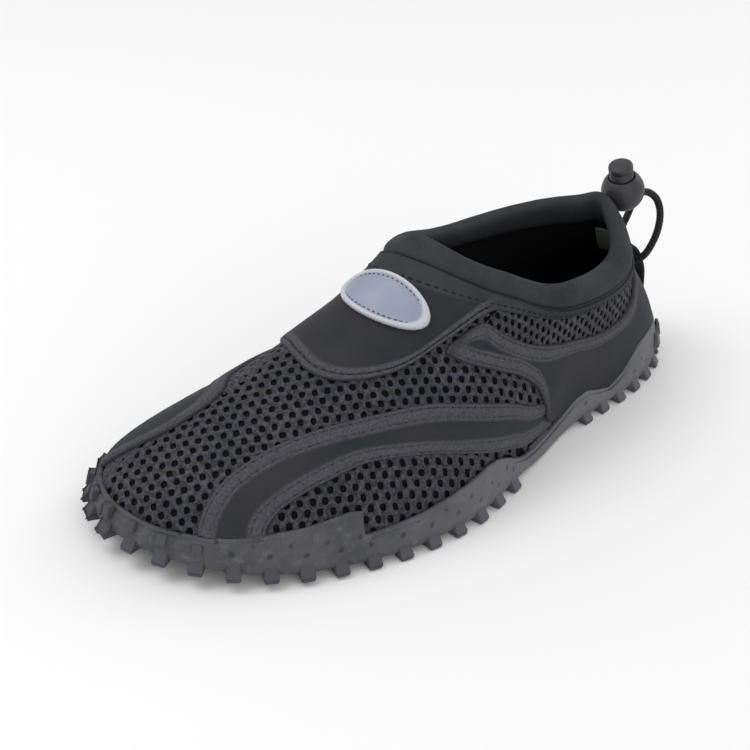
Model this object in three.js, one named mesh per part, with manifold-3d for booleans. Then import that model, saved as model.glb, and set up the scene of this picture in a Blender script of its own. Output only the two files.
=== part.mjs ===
// A slip-on water shoe for the left foot, in millimetres.
// +Z is up, the toe points to -Y, the wearer's outer side is +X, and the shoe stands on Z = 0.
import * as THREE from "three";
import { mergeVertices } from "three/addons/utils/BufferGeometryUtils.js";
import Module from "manifold-3d";

const wasm = await Module();
wasm.setup();

// Driving sizes
const sole_length = 282;
const ball_width = 106.4;
const throat_height = 86.5;
const side_height = 22.5;
const tread_depth = 2.2;
const sole_floor = 4.3;
const toe_spring = 7;
const arch_rise = 0.5;
const cup_wall = 1.6;
const upper_wall = 2.2;
const insole_thickness = 4;
const overlay_thickness = 1;
const welt_step = 0.6;
const welt_width = 4.5;
const collar_length = 135;
const collar_width = 68;
const collar_thickness = 7.4;
const fit_gap = 0.3;
const curved_gap = 0.6;

// Lugs of the tread
const lug_pitch = 12.6;
const lug_width = 5.8;
const lug_reach = 2.8;
const lug_climb = 4.6;
const lug_root = 6;
const heel_lug_base = 10;
const heel_lug_height = 6;
const heel_lug_span = 2.4;
const waist_drop = 1.9;
const stud_size = 7;
const stud_pitch = 17;
const stud_margin = 15;

// Badge, pull strap, cord and cord lock
const badge_length = 34.2;
const badge_width = 19.6;
const badge_thickness = 1.2;
const badge_rim = 1.8;
const badge_rim_step = 0.5;
const strap_width = 9.4;
const strap_thickness = 1.6;
const ball_radius = 9.2;
const button_radius = 5.2;
const button_proud = 5.6;
const button_travel = 4;
const button_depth = 5;
const button_clearance = 0.4;
const cord_diameter = 3.2;
const pocket_depth = 3.5;

// Sampling of the faceted surfaces
const ROUND = 28;
const STEPS_PER_ROW = 2;

const rubber = new THREE.MeshStandardMaterial({ color: 0x505054, roughness: 0.75, metalness: 0 });
const mesh_fabric = new THREE.MeshStandardMaterial({ color: 0x333336, roughness: 0.9, metalness: 0 });
const smooth_fabric = new THREE.MeshStandardMaterial({ color: 0x36363a, roughness: 0.8, metalness: 0 });
const badge_vinyl = new THREE.MeshStandardMaterial({ color: 0xb4b7c4, roughness: 0.5, metalness: 0 });
const lock_plastic = new THREE.MeshStandardMaterial({ color: 0x3c3c3f, roughness: 0.55, metalness: 0 });
const cord_elastic = new THREE.MeshStandardMaterial({ color: 0x121213, roughness: 0.85, metalness: 0 });

function table(columns, rows) {
  return rows.map((row) => Object.fromEntries(columns.map((name, i) => [name, row[i]])));
}

// The sole's outline without lugs, round from the toe by the outer side and the heel to the inner side.
// across is a share of half the ball width, along a share of half the sole length.
const OUTLINE = table(
  ["at", "across", "along"],
  [
    [0, -0.19, -1.0],
    [1, 0.17, -0.965],
    [2, 0.51, -0.87],
    [3, 0.75, -0.73],
    [4, 0.9, -0.575],
    [5, 1.005, -0.4],
    [6, 1.02, -0.21],
    [7, 0.92, -0.03],
    [8, 0.805, 0.14],
    [9, 0.67, 0.32],
    [10, 0.61, 0.51],
    [11, 0.555, 0.69],
    [12, 0.41, 0.86],
    [13, 0.19, 0.96],
    [14, -0.075, 1.0],
    [15, -0.34, 0.98],
    [16, -0.545, 0.895],
    [17, -0.66, 0.745],
    [18, -0.675, 0.57],
    [19, -0.64, 0.37],
    [20, -0.61, 0.17],
    [21, -0.66, -0.02],
    [22, -0.8, -0.21],
    [23, -0.94, -0.4],
    [24, -1.0, -0.58],
    [25, -0.96, -0.76],
    [26, -0.81, -0.905],
    [27, -0.525, -0.98],
  ],
);

// Ribs of the last, from the sole up to the collar seam, each a cubic between two handles.
// swell and rise place the low handle, run and drop the high one, turn is the rib's place on the
// collar seam in degrees from the throat. swell, rise, drop and height are shares of the throat height.
const RIBS = table(
  ["at", "swell", "rise", "run", "drop", "turn", "height"],
  [
    [0, 0.023, 0.28, 0.505, 0.53, 0, 1.0],
    [3, 0.027, 0.3, 0.49, 0.485, 24, 0.975],
    [6, 0.028, 0.33, 0.41, 0.315, 55, 0.845],
    [9, 0.028, 0.275, 0.22, 0.23, 90, 0.67],
    [12, 0.03, 0.255, 0.07, 0.21, 146, 0.635],
    [14, 0.025, 0.3, 0.04, 0.21, 180, 0.73],
    [16, 0.03, 0.255, 0.07, 0.21, 212, 0.68],
    [19, 0.028, 0.275, 0.22, 0.23, 270, 0.685],
    [22, 0.015, 0.255, 0.405, 0.415, 306, 0.82],
    [25, 0.023, 0.215, 0.485, 0.56, 338, 0.935],
  ],
);

// The collar seam seen from above: an oval whose ends lie off the last's axis
const collar_centre = { x: 0, y: 43.5 };
const collar_skew = 3.5;
const collar_squareness = 2.15;

// How far the crest of the rolled collar lies inside and above its seam, as shares of its thickness
const CREST = table(
  ["at", "inward", "up"],
  [
    [0, 1.2, 0.88],
    [3, 1.1, 0.95],
    [6, 0.75, 1.15],
    [9, 0.55, 1.3],
    [12, 1.0, 1.55],
    [14, 1.25, 1.9],
    [16, 0.95, 1.95],
    [19, 0.55, 1.5],
    [22, 0.75, 1.15],
    [25, 1.1, 0.95],
  ],
);

// Height of the sole's side above the floor as a share of side_height: straight between rows
const RIM = table(
  ["at", "height"],
  [
    [0, 0.82],
    [1, 0.8],
    [2, 0.82],
    [3, 0.89],
    [3.7, 1],
    [3.98, 0.96],
    [4.02, 0.56],
    [5, 0.64],
    [5.8, 0.78],
    [6.3, 0.89],
    [6.6, 0.85],
    [6.95, 0.7],
    [7.3, 0.5],
    [7.65, 0.34],
    [8.1, 0.3],
    [8.6, 0.31],
    [8.95, 0.4],
    [9.3, 0.58],
    [9.6, 0.62],
    [9.9, 0.48],
    [10.3, 0.34],
    [10.65, 0.53],
    [10.9, 0.76],
    [11.2, 0.92],
    [11.8, 0.94],
    [12.6, 0.9],
    [14, 0.9],
    [15.4, 0.9],
    [16.2, 0.94],
    [16.8, 0.92],
    [17.1, 0.76],
    [17.35, 0.53],
    [17.7, 0.34],
    [18.1, 0.48],
    [18.4, 0.62],
    [18.7, 0.58],
    [19.05, 0.4],
    [19.4, 0.31],
    [19.9, 0.3],
    [20.35, 0.34],
    [20.7, 0.5],
    [21.05, 0.7],
    [21.4, 0.85],
    [21.7, 0.89],
    [22.2, 0.78],
    [23, 0.64],
    [23.98, 0.56],
    [24.02, 0.96],
    [24.3, 1],
    [25, 0.89],
    [26, 0.82],
    [27, 0.8],
  ],
);

// Stretches of the outline that carry no lugs, from row to row, where the arch is
const WAISTS = table(
  ["from", "to"],
  [
    [7.55, 9.35],
    [18.65, 20.45],
  ],
);

// The front arms of the side panels, from the toe to the arch: each row is a rib of the arm from
// its lower to its upper edge, given by the place round the shoe and the share of the way up.
const ARM_OUTER = table(
  ["low_at", "low_up", "high_at", "high_up"],
  [
    [2.5, 0.1, 1.45, 0.1],
    [2.45, 0.19, 1.35, 0.24],
    [2.6, 0.28, 1.35, 0.37],
    [3.0, 0.36, 1.7, 0.5],
    [3.7, 0.42, 2.5, 0.58],
    [4.8, 0.39, 3.7, 0.615],
    [5.7, 0.31, 4.9, 0.6],
    [6.8, 0.18, 6.6, 0.48],
    [7.6, 0.08, 7.6, 0.35],
    [8.7, 0.0, 8.6, 0.24],
  ],
);
const ARM_INNER = table(
  ["low_at", "low_up", "high_at", "high_up"],
  [
    [19.3, 0.0, 19.4, 0.24],
    [20.4, 0.08, 20.4, 0.35],
    [21.2, 0.18, 21.4, 0.48],
    [22.3, 0.31, 23.1, 0.6],
    [23.2, 0.39, 24.5, 0.63],
    [24.3, 0.42, 25.8, 0.62],
    [25.0, 0.36, 27.0, 0.58],
    [25.4, 0.28, 27.2, 0.46],
    [25.55, 0.19, 26.8, 0.29],
    [25.5, 0.1, 26.3, 0.1],
  ],
);

// The quarter behind the arm: the share of the way up of its lower and upper edges.
// The last two columns say which edge carries a raised welt.
const QUARTER = table(
  ["at", "low_up", "high_up", "low_welt", "high_welt"],
  [
    [4.4, 0.79, 0.82, 1, 0],
    [5.3, 0.735, 0.895, 1, 1],
    [6.1, 0.68, 0.85, 1, 1],
    [7.0, 0.6, 0.8, 1, 1],
    [7.7, 0.47, 0.775, 1, 1],
    [8.1, 0.29, 0.765, 1, 1],
    [8.4, 0.1, 0.755, 0, 1],
    [9.0, 0.0, 0.73, 0, 1],
    [9.8, 0.0, 0.67, 0, 1],
    [10.6, 0.0, 0.68, 0, 1],
    [11.3, 0.0, 0.75, 0, 1],
    [11.8, 0.0, 0.86, 0, 1],
    [12.2, 0.0, 0.97, 0, 0],
    [13.0, 0.0, 0.97, 0, 0],
    [13.93, 0.0, 0.97, 0, 0],
  ],
);

// The patch on the instep, from its inner to its outer corner
const INSTEP = table(
  ["at", "low_up"],
  [
    [-5.9, 0.95],
    [-5.1, 0.91],
    [-4.1, 0.82],
    [-3.2, 0.77],
    [-2, 0.745],
    [-1, 0.745],
    [0, 0.73],
    [1, 0.71],
    [2, 0.71],
    [3.2, 0.745],
    [4.1, 0.82],
    [5.1, 0.91],
    [5.8, 0.95],
  ],
);
const patch_top = 0.97;

// A value round the shoe from the rows of a table, smooth over the closed loop.
// per_lap is what the value gains in one lap.
function around(rows, column, at, per_lap = 0) {
  const lap = Math.floor(at / ROUND);
  const place = at - lap * ROUND;
  let index = rows.length - 1;
  while (rows[index].at > place) index--;
  const [before, start, end, after] = [-1, 0, 1, 2].map((step) => {
    const turns = Math.floor((index + step) / rows.length);
    const row = rows[index + step - turns * rows.length];
    return { at: row.at + turns * ROUND, value: row[column] + turns * per_lap };
  });
  const span = end.at - start.at;
  const t = (place - start.at) / span;
  const slope_start = ((end.value - before.value) / (end.at - before.at)) * span;
  const slope_end = ((after.value - start.value) / (after.at - start.at)) * span;
  const cubic =
    (2 * t ** 3 - 3 * t ** 2 + 1) * start.value +
    (t ** 3 - 2 * t ** 2 + t) * slope_start +
    (3 * t ** 2 - 2 * t ** 3) * end.value +
    (t ** 3 - t ** 2) * slope_end;
  return cubic + lap * per_lap;
}

// A value along an open table, smooth through its rows, place running from 0 to the last row
function along(rows, column, place) {
  const index = Math.min(Math.floor(place), rows.length - 2);
  const t = place - index;
  const value = (i) => rows[THREE.MathUtils.clamp(i, 0, rows.length - 1)][column];
  const [a, b, c, d] = [index - 1, index, index + 1, index + 2].map(value);
  return (
    0.5 *
    (2 * b + (c - a) * t + (2 * a - 5 * b + 4 * c - d) * t ** 2 + (3 * b - a - 3 * c + d) * t ** 3)
  );
}

function outline(at) {
  return new THREE.Vector2(
    (around(OUTLINE, "across", at) * ball_width) / 2,
    (around(OUTLINE, "along", at) * sole_length) / 2,
  );
}

function outward(at) {
  const ahead = outline(at + 0.02);
  const behind = outline(at - 0.02);
  return new THREE.Vector2(ahead.y - behind.y, behind.x - ahead.x).normalize();
}

// Rise of the sole's underside over the floor plane of the tread, at the toe and in the arch
const spring_start = -0.44;
const arch_middle = 0.16;
const arch_reach = 0.24;
function rise(y) {
  const share = y / (sole_length / 2);
  const toe = Math.max(0, (spring_start - share) / (1 + spring_start));
  const arch = Math.max(0, 1 - ((share - arch_middle) / arch_reach) ** 2);
  return toe_spring * toe ** 2 + arch_rise * arch;
}

const foot_inset = cup_wall + 2;
const upper_base = tread_depth + sole_floor;

function seam(at) {
  const turn = THREE.MathUtils.degToRad(around(RIBS, "turn", at, 360));
  const power = 2 / collar_squareness;
  const forward = Math.sign(Math.cos(turn)) * Math.abs(Math.cos(turn)) ** power;
  const sideways = Math.sign(Math.sin(turn)) * Math.abs(Math.sin(turn)) ** power;
  return new THREE.Vector3(
    collar_centre.x + (sideways * collar_width) / 2 + forward * collar_skew,
    collar_centre.y - (forward * collar_length) / 2,
    around(RIBS, "height", at) * throat_height,
  );
}

// A point of the upper's outer surface, up running from 0 at the sole to 1 at the collar seam
function surface(at, up) {
  const rim = outline(at).addScaledVector(outward(at), -foot_inset);
  const foot = new THREE.Vector3(rim.x, rim.y, upper_base + rise(rim.y));
  const top = seam(at);
  const out = outward(at);
  const swell = around(RIBS, "swell", at) * throat_height;
  const low = new THREE.Vector3(foot.x + out.x * swell, foot.y + out.y * swell, foot.z);
  low.z += around(RIBS, "rise", at) * throat_height;
  const away = new THREE.Vector3(foot.x - top.x, foot.y - top.y, 0);
  const high = top.clone().addScaledVector(away, around(RIBS, "run", at));
  high.z -= around(RIBS, "drop", at) * throat_height;
  return new THREE.CubicBezierCurve3(foot, low, high, top).getPoint(up);
}

function normal(at, up) {
  const step = 0.01;
  const low = Math.max(0, up - step);
  const high = Math.min(1, up + step);
  const round = surface(at + step, up).sub(surface(at - step, up));
  const rising = surface(at, high).sub(surface(at, low));
  return round.cross(rising).normalize();
}

// A point that lies off the upper's outer surface, outwards where off is positive
function layer(at, up, off) {
  return surface(at, up).addScaledVector(normal(at, up), off);
}

// The share of the way up at which the upper's outer surface reaches a height
function up_at_height(at, height) {
  let low = 0;
  let high = 1;
  for (let i = 0; i < 20; i++) {
    const middle = (low + high) / 2;
    if (surface(at, middle).z < height) low = middle;
    else high = middle;
  }
  return (low + high) / 2;
}

function rim_height(at) {
  const place = ((at % ROUND) + ROUND) % ROUND;
  let index = RIM.length - 1;
  while (RIM[index].at > place) index--;
  const start = RIM[index];
  const end = RIM[index + 1] ?? { at: ROUND, height: RIM[0].height };
  const t = (place - start.at) / (end.at - start.at);
  return side_height * THREE.MathUtils.lerp(start.height, end.height, t);
}

// A closed geometry from vertices and triangles
function geometry(points, faces) {
  const made = new THREE.BufferGeometry();
  made.setAttribute("position", new THREE.Float32BufferAttribute(points.flatMap((p) => [p.x, p.y, p.z]), 3));
  made.setIndex(faces.flat());
  return made;
}

// Faces between neighbouring rings of equal size
function bands(rings, closed) {
  const size = rings[0].length;
  const faces = [];
  const last = closed ? rings.length : rings.length - 1;
  for (let i = 0; i < last; i++) {
    const lower = i * size;
    const upper = ((i + 1) % rings.length) * size;
    for (let j = 0; j < size; j++) {
      const next = (j + 1) % size;
      faces.push([lower + j, lower + next, upper + next]);
      faces.push([lower + j, upper + next, upper + j]);
    }
  }
  return faces;
}

// Strips that close a ring from its outer to its inner side, facing up or down
function lid(start, size, faces_up) {
  const faces = [];
  const add = (a, b, c) => faces.push(faces_up ? [a, b, c] : [a, c, b]);
  for (let j = 0; j < size / 2; j++) {
    const [a, b, c, d] = [j, j + 1, size - j - 1, (size - j) % size].map((k) => start + k);
    if (b !== c) add(a, b, c);
    if (a !== d) add(a, c, d);
  }
  return faces;
}

function tub(rings) {
  const size = rings[0].length;
  const faces = [...bands(rings, false), ...lid(0, size, false)];
  return geometry(rings.flat(), [...faces, ...lid((rings.length - 1) * size, size, true)]);
}

function hoop(rings) {
  return geometry(rings.flat(), bands(rings, true));
}

function solid(shape) {
  const plain = shape.clone();
  plain.deleteAttribute("normal");
  plain.deleteAttribute("uv");
  const merged = mergeVertices(plain, 1e-4);
  return new wasm.Manifold(
    new wasm.Mesh({
      numProp: 3,
      vertProperties: new Float32Array(merged.attributes.position.array),
      triVerts: new Uint32Array(merged.index.array),
    }),
  );
}

function shape_of(manifold) {
  const mesh = manifold.getMesh();
  const made = new THREE.BufferGeometry();
  made.setAttribute("position", new THREE.BufferAttribute(new Float32Array(mesh.vertProperties), 3));
  made.setIndex(new THREE.BufferAttribute(new Uint32Array(mesh.triVerts), 1));
  return made;
}

function named(name, shape, material) {
  const drawn = shape.index ? shape.toNonIndexed() : shape;
  drawn.computeVertexNormals();
  const mesh = new THREE.Mesh(drawn, material);
  mesh.name = name;
  return mesh;
}

// Places round the shoe where every ring of the upper, insole and collar has a vertex
const places = Array.from({ length: ROUND * STEPS_PER_ROW }, (_, i) => i / STEPS_PER_ROW);

// The sole has the same places, but two close ones on each side where its edge steps down
const step_places = [4, 24];
const step_half = 0.02;
const sole_places = places.flatMap((at) => {
  return step_places.includes(at) ? [at - step_half, at + step_half] : [at];
});

// Outsole: a cup whose wall follows the upper, with lugs all round and studs under heel and ball
function sole_ring(inset, height) {
  return sole_places.map((at) => {
    const point = outline(at).addScaledVector(outward(at), -inset(at));
    return new THREE.Vector3(point.x, point.y, height(at, point.y));
  });
}

function cup() {
  const edge_round = 1.2;
  const lean = 0.5;
  const inner = (share, gap) =>
    sole_places.map((at) => layer(at, up_at_height(at, rim_height(at)) * share, gap));
  const floor_ring = inner(0, fit_gap);
  floor_ring.forEach((point) => (point.z -= fit_gap));
  const top_inner = inner(1, fit_gap);
  const top_outer = sole_places.map((at, i) => {
    const out = outward(at);
    return new THREE.Vector3(out.x, out.y, 0).multiplyScalar(cup_wall).add(top_inner[i]);
  });
  const low_edge = (at, y) => tread_depth - waist_drop * waist_share(at) + rise(y);
  const low_wall = (at, y) => low_edge(at, y) + edge_round;
  const mid_wall = (at, y) => (low_wall(at, y) + rim_height(at)) / 2;
  return tub([
    sole_ring(() => edge_round, low_edge),
    sole_ring(() => 0, low_wall),
    sole_ring(() => lean * 0.5, mid_wall),
    top_outer,
    top_inner,
    inner(0.5, curved_gap + 0.1),
    floor_ring,
  ]);
}

// A block with four sides, from the corners of its lower and upper faces
function block(lower, upper) {
  return tub([lower, upper]);
}

// Length along the outline at the sampled places
const walk_step = 0.1;
const walk = [{ at: 0, length: 0 }];
for (let at = walk_step; at <= ROUND + walk_step / 2; at += walk_step) {
  const previous = walk[walk.length - 1];
  walk.push({ at, length: previous.length + outline(at).distanceTo(outline(previous.at)) });
}

function place_at_length(length) {
  const index = walk.findIndex((step) => step.length >= length);
  const [start, end] = [walk[index - 1], walk[index]];
  const t = (length - start.length) / (end.length - start.length);
  return THREE.MathUtils.lerp(start.at, end.at, t);
}

// Corners of one level face of a lug, from its outer to its inner side
function lug_face(at, inner, outer, half, height) {
  const middle = outline(at);
  const out = outward(at);
  const side = new THREE.Vector2(-out.y, out.x);
  const corner = (reach, across) => {
    const point = middle.clone().addScaledVector(out, reach).addScaledVector(side, across);
    return new THREE.Vector3(point.x, point.y, height + rise(middle.y));
  };
  return [corner(outer, -half), corner(outer, half), corner(inner, half), corner(inner, -half)];
}

function edge_lug(at) {
  const half = lug_width / 2;
  const lower = lug_face(at, -lug_root, lug_reach, half * 0.82, 0);
  const upper = lug_face(at, -lug_root, lug_reach * 0.25, half, tread_depth + lug_climb);
  const root = lug_face(at, -cup_wall - 1.2, 0, half, tread_depth + 1);
  return block(lower, [upper[0], upper[1], root[2], root[3]]);
}

// A short lug on the wall behind the heel, above the edge lug at the same place
function heel_lug(at) {
  const half = lug_width / 2;
  const lower = lug_face(at, -0.6, lug_reach, half * 0.82, heel_lug_base);
  return block(lower, lug_face(at, -0.6, lug_reach * 0.4, half * 0.9, heel_lug_base + heel_lug_height));
}

// How far into a waist a place is, from 0 at its ends to 1 in its middle
function waist_share(at) {
  const waist = WAISTS.find((row) => at > row.from && at < row.to);
  return waist ? Math.sin((Math.PI * (at - waist.from)) / (waist.to - waist.from)) : 0;
}

function in_waist(at) {
  return WAISTS.some((waist) => at > waist.from && at < waist.to);
}

function edge_lugs() {
  const total = walk[walk.length - 1].length;
  const count = Math.round(total / lug_pitch);
  const lugs = [];
  for (let i = 0; i < count; i++) {
    const at = place_at_length(((i + 0.5) * total) / count);
    if (!in_waist(at)) lugs.push(edge_lug(at));
    if (Math.abs(at - heel_at) < heel_lug_span) lugs.push(heel_lug(at));
  }
  return lugs;
}

// Half widths of the sole at a place along its length, found on the outline
function width_at(y) {
  const near = walk.map((step) => outline(step.at)).filter((p) => Math.abs(p.y - y) < 4);
  return { inner: Math.min(...near.map((p) => p.x)), outer: Math.max(...near.map((p) => p.x)) };
}

// Rows of square studs as shares of half the sole length, from the toe to the heel
const STUD_ROWS = table(
  ["along"],
  [[-0.84], [-0.72], [-0.6], [-0.48], [-0.36], [-0.24], [-0.12], [0.5], [0.62], [0.74], [0.86]],
);

function studs() {
  const made = [];
  STUD_ROWS.forEach((row, number) => {
    const y = (row.along * sole_length) / 2;
    const { inner, outer } = width_at(y);
    const room = outer - inner - 2 * stud_margin;
    const count = Math.max(1, Math.floor(room / stud_pitch) + 1 - (number % 2));
    for (let i = 0; i < count; i++) {
      const x = (inner + outer) / 2 + (i - (count - 1) / 2) * stud_pitch;
      const square = (half, height) =>
        [
          [-half, -half],
          [half, -half],
          [half, half],
          [-half, half],
        ].map(([dx, dy]) => new THREE.Vector3(x + dx, y + dy, height));
      const half = stud_size / 2;
      made.push(block(square(half * 0.85, rise(y)), square(half, tread_depth + 0.6 + rise(y))));
    }
  });
  return made;
}

function outsole() {
  let body = solid(cup());
  for (const piece of [...edge_lugs(), ...studs()]) body = body.add(solid(piece));
  return shape_of(body);
}

// Upper: one wall, open at the collar and underneath
const OUTER_ROWS = [0, 0.07, 0.15, 0.24, 0.34, 0.45, 0.56, 0.67, 0.78, 0.89, 1];
const INNER_ROWS = [1, 0.83, 0.66, 0.5, 0.34, 0.2, 0.08, 0];

function upper() {
  const outer = OUTER_ROWS.map((up) => places.map((at) => layer(at, up, 0)));
  const inner = INNER_ROWS.map((up) => places.map((at) => layer(at, up, -upper_wall)));
  inner[0].forEach((point, i) => (point.z = outer[outer.length - 1][i].z));
  inner[inner.length - 1].forEach((point, i) => (point.z = outer[0][i].z));
  return hoop([...outer, ...inner]);
}

// Insole: lies on the floor of the sole inside the upper
function insole() {
  const depth = upper_wall + 2 * curved_gap;
  const bottom = places.map((at) => layer(at, 0, -depth));
  const top = places.map((at) => {
    const height = surface(at, 0).z + insole_thickness;
    return layer(at, up_at_height(at, height), -depth);
  });
  const dish = places.map((at, i) => {
    const out = outward(at);
    const point = top[i].clone().addScaledVector(new THREE.Vector3(out.x, out.y, 0), -2);
    point.z -= 0.3;
    return point;
  });
  return tub([bottom, top, dish]);
}

// Rolled collar: a padded roll that stands on the upper's top edge
const COLLAR_SIDES = 9;
function collar_frame(at) {
  const foot = layer(at, 1, -upper_wall / 2);
  const round = seam(at + 0.05).sub(seam(at - 0.05)).setZ(0).normalize();
  const inward = new THREE.Vector3(-round.y, round.x, 0);
  const axis = inward.clone().multiplyScalar(around(CREST, "inward", at) * collar_thickness);
  axis.z += around(CREST, "up", at) * collar_thickness;
  const height = axis.length();
  axis.normalize();
  const across = round.clone().cross(axis).normalize();
  const half = (height - fit_gap) / 2;
  const centre = foot.clone().addScaledVector(axis, fit_gap + half);
  return { centre, axis, across, half };
}

function collar() {
  const squareness = 2.5;
  const rings = [];
  for (let i = 0; i < COLLAR_SIDES; i++) {
    const angle = (2 * Math.PI * i) / COLLAR_SIDES;
    const bend = (value) => Math.sign(value) * Math.abs(value) ** (2 / squareness);
    rings.push(
      places.map((at) => {
        const { centre, axis, across, half } = collar_frame(at);
        const point = centre.clone().addScaledVector(axis, -bend(Math.cos(angle)) * half);
        point.addScaledVector(across, (bend(Math.sin(angle)) * collar_thickness) / 2);
        point.z = Math.max(point.z, seam(at).z + curved_gap);
        return point;
      }),
    );
  }
  return hoop(rings);
}

// An overlay lies on the upper between two edge lines and may carry a raised welt on each edge
function overlay(rib, columns, fill_rows, off) {
  const grids = { top: [], back: [] };
  for (let i = 0; i <= columns; i++) {
    const { low, high, low_welt, high_welt } = rib(i / columns);
    const width = surface(low.at, low.up).distanceTo(surface(high.at, high.up));
    const welt = Math.min(welt_width / width, 0.36);
    const slope = Math.min(0.8 / width, 0.06);
    const shares = [0, welt, welt + slope];
    const room = 1 - 2 * (welt + slope);
    for (let k = 1; k < fill_rows; k++) shares.push(welt + slope + (room * k) / fill_rows);
    shares.push(1 - welt - slope, 1 - welt, 1);
    const heights = shares.map((share, k) => {
      if (k < 2) return overlay_thickness + welt_step * low_welt;
      if (k > shares.length - 3) return overlay_thickness + welt_step * high_welt;
      return overlay_thickness;
    });
    const place = (share, lift) =>
      layer(
        THREE.MathUtils.lerp(low.at, high.at, share),
        THREE.MathUtils.lerp(low.up, high.up, share),
        off + lift,
      );
    grids.top.push(shares.map((share, k) => place(share, heights[k])));
    grids.back.push(shares.map((share) => place(share, 0)));
  }
  return slab(grids.top, grids.back);
}

// A closed slab between two grids of points with the same rows and columns
function slab(top, back) {
  const rows = top.length;
  const size = top[0].length;
  const points = [...top.flat(), ...back.flat()];
  const shift = rows * size;
  const faces = [];
  const quad = (a, b, c, d) => faces.push([a, b, c], [a, c, d]);
  for (let i = 0; i < rows - 1; i++) {
    for (let k = 0; k < size - 1; k++) {
      const [a, b, c, d] = [i * size + k, (i + 1) * size + k, (i + 1) * size + k + 1, i * size + k + 1];
      quad(a, b, c, d);
      quad(d + shift, c + shift, b + shift, a + shift);
    }
  }
  const border = [];
  for (let i = 0; i < rows - 1; i++) border.push(i * size);
  for (let k = 0; k < size - 1; k++) border.push((rows - 1) * size + k);
  for (let i = rows - 1; i > 0; i--) border.push(i * size + size - 1);
  for (let k = size - 1; k > 0; k--) border.push(k);
  border.forEach((point, i) => {
    const next = border[(i + 1) % border.length];
    quad(point, point + shift, next + shift, next);
  });
  return geometry(points, faces);
}

// The lowest an overlay may reach, just above the sole's edge
function above_rim(at, up) {
  return Math.max(up, up_at_height(at, rim_height(at) + 2 * curved_gap));
}

function arm_rib(rows) {
  return (t) => {
    const place = t * (rows.length - 1);
    const low_at = along(rows, "low_at", place);
    const high_at = along(rows, "high_at", place);
    return {
      low: { at: low_at, up: above_rim(low_at, along(rows, "low_up", place)) },
      high: { at: high_at, up: above_rim(high_at, along(rows, "high_up", place)) },
      low_welt: 1,
      high_welt: 1,
    };
  };
}

function quarter_rib(mirrored) {
  return (t) => {
    const place = (mirrored ? 1 - t : t) * (QUARTER.length - 1);
    const outer_at = along(QUARTER, "at", place);
    const at = mirrored ? ROUND - outer_at : outer_at;
    const clamp = (value) => THREE.MathUtils.clamp(value, 0, 1);
    return {
      low: { at, up: above_rim(at, along(QUARTER, "low_up", place)) },
      high: { at, up: along(QUARTER, "high_up", place) },
      low_welt: clamp(along(QUARTER, "low_welt", place)),
      high_welt: clamp(along(QUARTER, "high_welt", place)),
    };
  };
}

function side_panel(arm_rows, mirrored) {
  const arm = solid(overlay(arm_rib(arm_rows), 18, 2, curved_gap));
  const quarter = solid(overlay(quarter_rib(mirrored), 22, 6, curved_gap));
  return shape_of(arm.add(quarter));
}

function instep_patch() {
  const rib = (t) => {
    const place = t * (INSTEP.length - 1);
    const at = along(INSTEP, "at", place);
    return {
      low: { at, up: along(INSTEP, "low_up", place) },
      high: { at, up: patch_top },
      low_welt: 1,
      high_welt: 0,
    };
  };
  return overlay(rib, 20, 3, curved_gap);
}

// The place on the upper whose point lies a and b from a centre along two tangent directions
function place_near(centre, frame, a, b) {
  const guess = { at: centre.at, up: centre.up };
  const step = 0.01;
  for (let i = 0; i < 6; i++) {
    const measure = (at, up) => {
      const offset = surface(at, up).sub(frame.origin);
      return new THREE.Vector2(offset.dot(frame.across), offset.dot(frame.back));
    };
    const here = measure(guess.at, guess.up);
    const by_at = measure(guess.at + step, guess.up).sub(here).divideScalar(step);
    const by_up = measure(guess.at, guess.up - step).sub(here).divideScalar(-step);
    const error = new THREE.Vector2(a, b).sub(here);
    const scale = by_at.cross(by_up);
    guess.at += error.cross(by_up) / scale;
    guess.up += by_at.cross(error) / scale;
  }
  return guess;
}

// Badge: an oval tab with a raised rim, bare in the middle, sewn on the instep patch
const badge_place = { at: 0.9, up: 0.915 };
function badge() {
  const facing = normal(badge_place.at, badge_place.up);
  const across = new THREE.Vector3(1, 0.155, 0);
  across.addScaledVector(facing, -across.dot(facing)).normalize();
  const frame = {
    origin: surface(badge_place.at, badge_place.up),
    across,
    back: facing.clone().cross(across),
  };
  const sides = 20;
  const seat = 2 * curved_gap + overlay_thickness + 0.1;
  const rim_share = 1 - (2 * badge_rim) / badge_width;
  const ring = (share, off) => {
    const points = [];
    for (let i = 0; i < sides; i++) {
      const angle = (2 * Math.PI * i) / sides;
      const a = (Math.cos(angle) * badge_length * share) / 2;
      const b = (Math.sin(angle) * badge_width * share) / 2;
      const place = place_near(badge_place, frame, a, b);
      points.push(layer(place.at, place.up, off));
    }
    return points;
  };
  const face = seat + badge_thickness;
  const raised = face + badge_rim_step;
  const back = [0.2, 0.65, 1].map((share) => ring(share, seat));
  const front = [1, rim_share].map((share) => ring(share, raised));
  const field = [rim_share - 0.06, 0.4].map((share) => ring(share, face));
  return tub([...back, ...front, ...field]);
}

// Pull strap: a webbing loop at the back of the heel that stands off in the middle
const heel_at = 14;
const STRAP = table(
  ["up", "off"],
  [
    [0.93, 0.3],
    [0.82, 0.6],
    [0.7, 2.6],
    [0.6, 4.5],
    [0.5, 4.7],
    [0.39, 3.8],
    [0.29, 1.6],
    [0.22, 0.3],
  ],
);

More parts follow.
